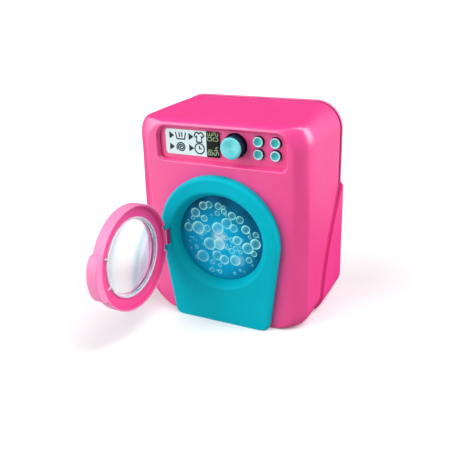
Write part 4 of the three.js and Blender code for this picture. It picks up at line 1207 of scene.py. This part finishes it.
def print_piece(name, shapes, material):
    """One piece from several thin solids."""
    points = []
    faces = []
    for solid, sides in shapes:
        base = len(points)
        points += solid
        faces += [tuple(base + corner for corner in side) for side in sides]
    set_up(add_piece(name, points, faces), (material,), "housing", "display_black")


SHARPEST_TURN_SHARE = 0.5
ICON_COLUMN_SHARES = (0.16, 0.38, 0.637, 0.83)
ICON_ROW_SHARES = (0.745, 0.295)
ARROW_COLUMNS = (0, 2)
TUB_SHARES = ((-1.12, 0.68), (-0.82, -0.62), (0.82, -0.62), (1.12, 0.68))
TUB_LEFT_SHARES = ((-0.3, 0.7), (-0.25, -0.25))
TUB_RIGHT_SHARES = ((0.3, 0.7), (0.25, -0.25))
SHIRT_SHARES = (
    (-0.35, 0.95), (-0.7, 0.85), (-1.02, 0.3), (-0.66, -0.05), (-0.5, 0.15), (-0.55, -0.95),
    (0.55, -0.95), (0.5, 0.15), (0.66, -0.05), (1.02, 0.3), (0.7, 0.85), (0.35, 0.95), (0, 0.62),
)
CLOCK_HAND_SHARES = ((0, 0.6), (0, 0), (0.45, 0))
SPIRAL_TURNS = 2.6
SPIRAL_START_SHARE = 0.1


def spiral_shares():
    points = []
    for share in even_shares(SPIRAL_STEPS):
        angle = SPIRAL_TURNS * math.tau * share
        radius = lerp(SPIRAL_START_SHARE, 1, share)
        points.append((radius * math.cos(angle), radius * math.sin(angle)))
    return points


def symbol_lines():
    """Lines of a wash tub, a shirt, a spin spiral and a clock: column, row, whether closed, points."""
    return [
        (1, 0, False, TUB_SHARES),
        (1, 0, False, TUB_LEFT_SHARES),
        (1, 0, False, TUB_RIGHT_SHARES),
        (3, 0, True, SHIRT_SHARES),
        (1, 1, False, spiral_shares()),
        (3, 1, True, circle(0, 0, 1, SMALL_TURN_STEPS // 2)),
        (3, 1, False, CLOCK_HAND_SHARES),
    ]


def label_symbols(material):
    """Two rows of arrow and symbol pairs."""
    columns = [lerp(LABEL_LEFT, LABEL_RIGHT, share) for share in ICON_COLUMN_SHARES]
    rows = [lerp(LABEL_FOOT, LABEL_TOP, share) for share in ICON_ROW_SHARES]
    shapes = []
    for z in rows:
        for x in (columns[place] for place in ARROW_COLUMNS):
            back = x - ARROW_HALF_WIDTH
            arrow = [(back, z + ARROW_HALF_HEIGHT), (back, z - ARROW_HALF_HEIGHT), (x + ARROW_HALF_WIDTH, z)]
            shapes.append(fill(arrow, LABEL_FRONT))
    for column, row, closed, shares in symbol_lines():
        points = [(columns[column] + a * ICON_HALF, rows[row] + b * ICON_HALF) for a, b in shares]
        shapes.append(stroke(points, INK_WIDTH, LABEL_FRONT, closed))
    print_piece("label_symbols", shapes, material)


# Seven-segment digits: each segment is a bar in a box one wide and two high. A digit has 1 for each lit bar.
SEGMENT_SHARES = (
    ((0, 2), (1, 2)), ((0, 1), (1, 1)), ((0, 0), (1, 0)),
    ((0, 1), (0, 2)), ((1, 1), (1, 2)), ((0, 0), (0, 1)), ((1, 0), (1, 1)),
)
DIGIT_SEGMENTS = {
    " ": "0000000", "0": "1011111", "1": "0000101", "2": "1110110",
    "3": "1110101", "4": "0101101", "5": "1111001", "8": "1111111",
}
DISPLAY_LINES = ("20 45", "30 18")


def display_digits(material):
    """Two lines of plain digits that read from the top of the display downwards."""
    middle_x = DISPLAY_LEFT + DISPLAY_WIDTH / 2
    middle_z = (LABEL_FOOT + LABEL_TOP) / 2
    shapes = []
    for row, text in enumerate(DISPLAY_LINES):
        x_foot = middle_x + (0.5 - row) * LINE_PITCH - DIGIT_HEIGHT / 2
        z_start = middle_z + (len(text) * DIGIT_PITCH) / 2
        for place, digit in enumerate(text):
            for lit, bar in zip(DIGIT_SEGMENTS[digit], SEGMENT_SHARES):
                if lit == "0":
                    continue
                ends = []
                for along, up in bar:
                    z = z_start - place * DIGIT_PITCH - along * DIGIT_WIDTH
                    ends.append(Vector((x_foot + up * DIGIT_HEIGHT / 2, z)))
                trim = (ends[1] - ends[0]).normalized() * DIGIT_TRIM
                shapes.append(stroke([ends[0] + trim, ends[1] - trim], DIGIT_STROKE, DISPLAY_FRONT))
    print_piece("display_digits", shapes, material)


# Materials
def colour(red, green, blue):
    """An sRGB colour of 0 to 255, as Blender's linear values."""
    channels = []
    for value in (red, green, blue):
        share = value / TINT_RANGE
        curved = ((share + CURVE_OFFSET) / (1 + CURVE_OFFSET)) ** CURVE_POWER
        channels.append(share / DARK_SLOPE if share <= DARK_LIMIT else curved)
    return (*channels, 1)


def shader_of(name):
    material = bpy.data.materials.new(name)
    material.use_nodes = True
    return material, material.node_tree, material.node_tree.nodes["Principled BSDF"]


def feed(tree, node, inputs):
    """Sets inputs of a node to plain values, or links other nodes' outputs to them."""
    for key, value in inputs.items():
        if isinstance(value, bpy.types.NodeSocket):
            tree.links.new(value, node.inputs[key])
        else:
            node.inputs[key].default_value = value


def add_node(tree, kind, inputs, **settings):
    """A shader node with its inputs fed. It gives back the node's outputs."""
    node = tree.nodes.new("ShaderNode" + kind)
    for key, value in settings.items():
        setattr(node, key, value)
    feed(tree, node, inputs)
    return node.outputs


def math_node(tree, operation, *values, clamp=False):
    return add_node(tree, "Math", dict(enumerate(values)), operation=operation, use_clamp=clamp)[0]


def vector_node(tree, operation, *values):
    return add_node(tree, "VectorMath", dict(enumerate(values)), operation=operation)["Vector"]


def measure_node(tree, operation, *values):
    return add_node(tree, "VectorMath", dict(enumerate(values)), operation=operation)["Value"]


def object_place(tree):
    return add_node(tree, "TexCoord", {})["Object"]


def noise(tree, scale, detail):
    inputs = {"Scale": scale, "Detail": detail, "Vector": object_place(tree)}
    return add_node(tree, "TexNoise", inputs)["Fac"]


def mapped(tree, value, start, stop, low, high, kind="LINEAR"):
    inputs = {"Value": value, "From Min": start, "From Max": stop, "To Min": low, "To Max": high}
    return add_node(tree, "MapRange", inputs, interpolation_type=kind)["Result"]


def drift(tree, low, high, scale, detail=PLAIN_DETAIL):
    """A value that drifts between two limits across the piece."""
    return mapped(tree, noise(tree, scale, detail), *NOISE_RANGE, low, high)


def scuffed(tree, middle, spread, detail=SCUFF_DETAIL):
    return drift(tree, middle - spread, middle + spread, SCUFF_SCALE, detail)


def mix_colours(tree, factor, first, second):
    return add_node(tree, "Mix", {0: factor, 6: first, 7: second}, data_type="RGBA")[2]


def clouded(tree, scale, first, second):
    """Soft patches of two colours."""
    return mix_colours(tree, drift(tree, 0, 1, scale), first, second)


def plastic(name):
    """Moulded plastic: a faint colour cloud, uneven gloss and a fine grain."""
    first, second, roughness, gloss_level, coat = PLASTICS[name]
    material, tree, shader = shader_of(name)
    grain = noise(tree, GRAIN_SCALE, PLAIN_DETAIL)
    relief = {"Strength": GRAIN_STRENGTH, "Distance": GRAIN_DEPTH * MM, "Height": grain}
    feed(tree, shader, {
        "Base Color": clouded(tree, CLOUD_SCALE, colour(*first), colour(*second)),
        "Roughness": scuffed(tree, roughness, PLASTIC_SPREAD),
        "Normal": add_node(tree, "Bump", relief)["Normal"],
        "Specular IOR Level": gloss_level,
        "Coat Weight": coat,
        "Coat Roughness": COAT_ROUGHNESS,
        "Coat IOR": COAT_IOR,
    })
    return material


def metal(name, tone, roughness):
    """Worn metal: patches a little darker than the tone, with uneven gloss."""
    material, tree, shader = shader_of(name)
    darker = (*(DARK_METAL_SHARE * channel for channel in tone[:3]), 1)
    feed(tree, shader, {
        "Metallic": 1,
        "Base Color": clouded(tree, SCUFF_SCALE, darker, tone),
        "Roughness": scuffed(tree, *roughness),
    })
    return material


def clear_plastic_painted_reflection():
    """Clear plastic with painted reflections: slanting pale and tinted bands across it."""
    material, tree, shader = shader_of("clear_plastic_painted_reflection")
    offset = vector_node(tree, "SUBTRACT", object_place(tree), window_middle() * MM)
    slant = measure_node(tree, "DOT_PRODUCT", offset, WINDOW_REFLECTION_SLANT)
    sway = drift(tree, -WINDOW_REFLECTION_SWAY * MM, WINDOW_REFLECTION_SWAY * MM, CLOUD_SCALE, SMOOTH_DETAIL)
    span = WINDOW_REFLECTION_HALF_SPAN * MM
    spot = math_node(tree, "ADD", math_node(tree, "ADD", slant, sway), span)
    ramp = tree.nodes.new("ShaderNodeValToRGB")
    feed(tree, ramp, {"Fac": math_node(tree, "DIVIDE", spot, 2 * span, clamp=True)})
    stops = ramp.color_ramp.elements
    while len(stops) < len(WINDOW_REFLECTION_TINTS):
        stops.new(1)
    for stop, (place, tint) in zip(stops, WINDOW_REFLECTION_TINTS):
        stop.position = (place + WINDOW_REFLECTION_HALF_SPAN) / (2 * WINDOW_REFLECTION_HALF_SPAN)
        stop.color = colour(*tint)
    feed(tree, shader, {
        "Base Color": ramp.outputs["Color"],
        "Transmission Weight": CLEAR_TRANSMISSION,
        "IOR": CLEAR_IOR,
        "Roughness": scuffed(tree, *CLEAR_ROUGHNESS, PLAIN_DETAIL),
    })
    return material


def window_middle():
    """Middle of the window with the door open, in millimetres."""
    pivot = Vector((HINGE_X, FRONT_Y + HINGE_DEPTH, 0))
    shut = Vector((0, FRONT_Y + WINDOW_BACK, DRUM_HEIGHT))
    return Matrix.Rotation(-DOOR_OPEN_ANGLE, 3, "Z") @ (shut - pivot) + pivot


def milky_plastic():
    """Pale plastic of the window's rim and clips."""
    material, tree, shader = shader_of("milky_plastic")
    first, second = (colour(*tint) for tint in MILKY_TINTS)
    feed(tree, shader, {
        "Base Color": clouded(tree, SCUFF_SCALE, first, second),
        "Transmission Weight": MILKY_TRANSMISSION,
        "Roughness": scuffed(tree, *MILKY_ROUGHNESS),
    })
    return material


def knob_painted_sheen_plastic():
    """Pale plastic with painted sheen: lighter and darker sectors about the knob's middle stand in for the
    reflections of a turned face.
    """
    material, tree, shader = shader_of("knob_painted_sheen_plastic")
    offset = vector_node(tree, "SUBTRACT", object_place(tree), Vector((KNOB_MIDDLE, 0, STRIP_HEIGHT)) * MM)
    parts = add_node(tree, "SeparateXYZ", {0: offset})
    angle = math_node(tree, "ARCTAN2", parts["Z"], parts["X"])
    wave = math_node(tree, "SINE", math_node(tree, "MULTIPLY_ADD", angle, KNOB_SHEEN_SECTORS, KNOB_SHEEN_TURN))
    share = math_node(tree, "MULTIPLY_ADD", wave, 0.5, 0.5)
    first, second = (colour(*tint) for tint in KNOB_SHEEN_TINTS)
    feed(tree, shader, {
        "Base Color": mix_colours(tree, share, first, second),
        "Roughness": scuffed(tree, *KNOB_ROUGHNESS),
    })
    return material


# The drum's print: bubbles of many sizes on deep blue
def bubble_group():
    """Node group: how strongly one bubble shows at a point."""
    group = bpy.data.node_groups.new("bubble", "ShaderNodeTree")
    kinds = {"Place": "Vector", "Middle": "Vector", "Radius": "Float", "Strength": "Float"}
    for name, kind in kinds.items():
        group.interface.new_socket(name, in_out="INPUT", socket_type="NodeSocket" + kind)
    group.interface.new_socket("Value", in_out="OUTPUT", socket_type="NodeSocketFloat")
    enter = group.nodes.new("NodeGroupInput").outputs
    offset = vector_node(group, "SUBTRACT", enter["Place"], enter["Middle"])
    away = math_node(group, "DIVIDE", measure_node(group, "LENGTH", offset), enter["Radius"])
    inside = math_node(group, "LESS_THAN", away, 1)
    ring = math_node(group, "POWER", away, BUBBLE_RING_POWER)
    facing = measure_node(group, "DOT_PRODUCT", offset, GLINT_SLANT)
    slope = math_node(group, "DIVIDE", facing, enter["Radius"])
    lit = math_node(group, "POWER", math_node(group, "MAXIMUM", slope, 0), GLINT_POWER)
    far_slope = math_node(group, "MULTIPLY", slope, -1)
    far_lit = math_node(group, "POWER", math_node(group, "MAXIMUM", far_slope, 0), GLINT_POWER)
    glint = math_node(group, "MULTIPLY_ADD", far_lit, FAR_GLINT_SHARE, lit)
    film = math_node(group, "ADD", math_node(group, "ADD", ring, glint), BUBBLE_FILM_SHARE)
    shown = math_node(group, "MULTIPLY", film, inside)
    faded = math_node(group, "MULTIPLY", shown, enter["Strength"], clamp=True)
    feed(group, group.nodes.new("NodeGroupOutput"), {"Value": faded})
    return group


def stands_apart(x, z, radius, places):
    """Whether a bubble keeps its distance from the earlier ones."""
    for other_x, other_z, other_radius, _ in places:
        if math.hypot(x - other_x, z - other_z) <= BUBBLE_SPACE_SHARE * (radius + other_radius):
            return False
    return True


def bubble_places():
    """Seeded places, radii and strengths, with the large bubbles kept apart."""
    draw = random.Random(BUBBLE_SEED)
    places = []
    for i in range(BUBBLE_COUNT):
        share = 1 - i / BUBBLE_COUNT
        radius = lerp(BUBBLE_LEAST, BUBBLE_MOST, share ** BUBBLE_SIZE_POWER)
        for _ in range(BUBBLE_TRIES):
            angle = draw.uniform(0, math.tau)
            out = (BUBBLE_FIELD - radius) * math.sqrt(draw.random())
            x = out * math.cos(angle)
            z = out * math.sin(angle)
            if stands_apart(x, z, radius, places):
                break
        places.append((x, z, radius, draw.uniform(*BUBBLE_STRENGTHS)))
    return places


def water_colour(tree, place, middle):
    """Printed blue with soft clouds in it. It darkens away from a place left of and below the middle, as
    painted shade of the well's rim at the top and edges.
    """
    offset = vector_node(tree, "SUBTRACT", place, middle)
    away = measure_node(tree, "DISTANCE", offset, Vector(WATER_UNSHADED_PLACE) * MM)
    # The fade to the dark tint is painted shade.
    fade = mapped(tree, away, WATER_SHADE_START_RADIUS * MM, WATER_SHADE_FULL_RADIUS * MM, 0, 1, "SMOOTHSTEP")
    light, dark, cloud = (colour(*tint) for tint in WATER_AND_SHADE_TINTS)
    water = mix_colours(tree, fade, light, dark)
    patches = drift(tree, 0, WATER_CLOUD_SHARE, WATER_CLOUD_SCALE, WATER_DETAIL)
    return mix_colours(tree, patches, water, cloud)


def bubble_print():
    material, tree, shader = shader_of("bubble_print")
    place = object_place(tree)
    middle = Vector((0, FRONT_Y + DISC_DEPTH, DRUM_HEIGHT)) * MM
    group = bubble_group()
    total = None
    for x, z, radius, strength in bubble_places():
        spot = middle + Vector((x, 0, z)) * MM
        inputs = {"Place": place, "Middle": spot, "Radius": radius * MM, "Strength": strength}
        bubble = tree.nodes.new("ShaderNodeGroup")
        bubble.node_tree = group
        feed(tree, bubble, inputs)
        value = bubble.outputs["Value"]
        total = math_node(tree, "MAXIMUM", total, value) if total else value
    shown = mix_colours(tree, total, water_colour(tree, place, middle), colour(*BUBBLE_TINT))
    for x, z, reach, strength in GLOW_SPOTS:
        glow = glow_spot(tree, place, middle + Vector((x, 0, z)) * MM, reach * MM, strength)
        shown = mix_colours(tree, glow, shown, colour(*GLOW_TINT))
    feed(tree, shader, {
        "Base Color": shown,
        "Roughness": scuffed(tree, *PRINT_ROUGHNESS),
        "Specular IOR Level": PRINT_GLOSS_LEVEL,
    })
    return material


def glow_spot(tree, place, middle, reach, strength):
    """A soft light patch that fades out at its reach, broken up by fine clouds."""
    away = measure_node(tree, "DISTANCE", place, middle)
    fade = mapped(tree, away, 0, reach, strength, 0, "SMOOTHERSTEP")
    broken = drift(tree, GLOW_LEAST_SHARE, 1, GLOW_CLOUD_SCALE, WATER_DETAIL)
    return math_node(tree, "MULTIPLY", fade, broken)


# Stage
def towards(azimuth, elevation):
    """The direction towards a place, from two angles in degrees."""
    turn = math.radians(azimuth)
    rise = math.radians(elevation)
    return Vector((math.sin(turn) * math.cos(rise), -math.cos(turn) * math.cos(rise), math.sin(rise)))


def add_camera():
    ahead = -towards(CAMERA_AZIMUTH, CAMERA_ELEVATION)
    level = Vector((ahead.y, -ahead.x, 0)).normalized()
    upright = level.cross(ahead)
    right = level * math.cos(CAMERA_ROLL) + upright * math.sin(CAMERA_ROLL)
    up = upright * math.cos(CAMERA_ROLL) - level * math.sin(CAMERA_ROLL)
    place = CAMERA_TARGET - ahead * CAMERA_DISTANCE - right * CAMERA_SIDESTEP - up * CAMERA_DROP
    data = bpy.data.cameras.new("camera")
    data.sensor_width = CAMERA_SENSOR
    data.lens = CAMERA_LENS
    data.clip_end = VIEW_REACH * MM
    camera = bpy.data.objects.new("camera", data)
    turn = Matrix((right, up, -ahead)).transposed().to_4x4()
    camera.matrix_world = Matrix.Translation(place * MM) @ turn
    bpy.context.scene.collection.objects.link(camera)
    bpy.context.scene.camera = camera


def grey_tone(level):
    return (level, level, level, 1)


def mix_shaders(tree, factor, first, second):
    return add_node(tree, "MixShader", {0: factor, 1: first, 2: second})[0]


def ray_kinds(tree):
    """The light path's outputs, and whether a ray comes from the camera or through glass."""
    path = add_node(tree, "LightPath", {})
    seen = math_node(tree, "ADD", path["Is Camera Ray"], path["Is Transmission Ray"], clamp=True)
    return path, seen


def light_pool(tree):
    """White on the floor to the front left, as gloss sees it, and a weaker light far behind."""
    place = add_node(tree, "NewGeometry", {})["Position"]
    across_place = measure_node(tree, "DOT_PRODUCT", place, POOL_ACROSS)
    back_place = measure_node(tree, "DOT_PRODUCT", place, POOL_BACK)
    spot = math_node(tree, "MAXIMUM", across_place, math_node(tree, "ADD", back_place, POOL_BACK_PLACE * MM))
    fade = mapped(tree, spot, POOL_BRIGHT_PLACE * MM, POOL_DIM_PLACE * MM, 1, 0, "SMOOTHSTEP")
    rear_reach = (REAR_POOL_DIM_PLACE * MM, REAR_POOL_BRIGHT_PLACE * MM)
    behind = mapped(tree, back_place, *rear_reach, 0, REAR_POOL_LEVEL, "SMOOTHSTEP")
    return add_node(tree, "Emission", {"Strength": math_node(tree, "MAXIMUM", fade, behind)})[0]


def add_floor():
    """A pale floor that the camera and glass see as white, with the object's shadow on it."""
    half = FLOOR_HALF
    corners = [(half, -half, 0), (half, half, 0), (-half, half, 0), (-half, -half, 0)]
    floor = add_piece("floor", corners, [(0, 1, 2, 3)])
    material, tree, shader = shader_of("floor")
    path, seen = ray_kinds(tree)
    tone = mix_colours(tree, seen, grey_tone(FLOOR_TONE), grey_tone(FLOOR_SEEN_TONE))
    feed(tree, shader, {"Base Color": tone, "Roughness": 1, "Specular IOR Level": 0})
    glow = add_node(tree, "Emission", {"Strength": math_node(tree, "MULTIPLY", seen, FLOOR_SEEN_GLOW)})[0]
    lit = add_node(tree, "AddShader", {0: shader.outputs[0], 1: glow})[0]
    glossy = math_node(tree, "SUBTRACT", path["Is Glossy Ray"], path["Is Transmission Ray"], clamp=True)
    surface = mix_shaders(tree, glossy, lit, light_pool(tree))
    feed(tree, tree.nodes["Material Output"], {"Surface": surface})
    material.cycles.emission_sampling = "NONE"
    floor.data.materials.append(material)


def add_world():
    world = bpy.data.worlds.new("world")
    bpy.context.scene.world = world
    world.use_nodes = True
    tree = world.node_tree
    light = tree.nodes["Background"]
    path, seen = ray_kinds(tree)
    drop = math_node(tree, "MULTIPLY", path["Is Glossy Ray"], WORLD_GLOSS_LEVEL - WORLD_LEVEL)
    feed(tree, light, {"Color": WHITE, "Strength": math_node(tree, "ADD", drop, WORLD_LEVEL)})
    backdrop = add_node(tree, "Background", {"Color": WHITE})[0]
    surface = mix_shaders(tree, seen, light.outputs[0], backdrop)
    feed(tree, tree.nodes["World Output"], {"Surface": surface})


def add_lights():
    """Wide lamps far away."""
    for name, (azimuth, elevation, strength, spread) in LAMPS.items():
        data = bpy.data.lights.new(name, "SUN")
        data.energy = strength
        data.angle = math.radians(spread)
        lamp = bpy.data.objects.new(name, data)
        lamp.rotation_euler = towards(azimuth, elevation).to_track_quat("Z", "Y").to_euler()
        bpy.context.scene.collection.objects.link(lamp)


def dress_frame_nodes(steel):
    """Inner pieces and screws keep their own meshes and get finished materials."""
    nodes = frame["nodes"]
    small_parts = [name for name in nodes if "screw" in name or "spring" in name or name == "knob_clip"]
    groups = (
        (plastic("gear_plastic"), ("drum_gear", "idler_gear", "knob_shaft")),
        (plastic("bracket_plastic"), ("gear_bracket", "button_plate")),
        (steel, small_parts),
    )
    for material, names in groups:
        for name in names:
            mesh = nodes[name]
            if not mesh.material_slots:
                mesh.data.materials.append(material)
            for slot in mesh.material_slots:
                slot.material = material


def build():
    pink = plastic("pink_plastic")
    painted_shade_teal = plastic("wall_painted_shade_teal_plastic")
    rim = plastic("button_rim_plastic")
    cap = plastic("button_cap_plastic")
    steel = metal("steel", colour(*STEEL_TINT), STEEL_ROUGHNESS)
    milky = milky_plastic()
    front_shell(pink, plastic("groove_painted_shade_plastic"))
    rear_shell(plastic("rear_pink_plastic"))
    seam_band("seam_band_left", -1, pink)
    seam_band("seam_band_right", 1, pink)
    arch_panel(plastic("teal_plastic"))
    hinge_pin(steel)
    door_frame(plastic("door_pink_plastic"))
    hinge_barrel(plastic("hinge_magenta_painted_shade_plastic"))
    door_trim(plastic("trim_magenta_plastic"))
    door_window(clear_plastic_painted_reflection(), milky)
    window_clip("window_clip_1", CLIP_ANGLE, milky)
    window_clip("window_clip_2", -CLIP_ANGLE, milky)
    bubble_disc(bubble_print())
    control_knob(knob_painted_sheen_plastic(), painted_shade_teal)
    for index, (x, z) in enumerate(button_places(), 1):
        push_button(index, x, z, rim, cap, painted_shade_teal)
    control_label(plastic("label_film"))
    label_symbols(plastic("ink"))
    display_window(plastic("display_plastic"))
    display_digits(plastic("digit_print"))
    dress_frame_nodes(steel)


bpy.context.scene.view_settings.view_transform = "Standard"
add_camera()
add_floor()
add_world()
add_lights()
build()
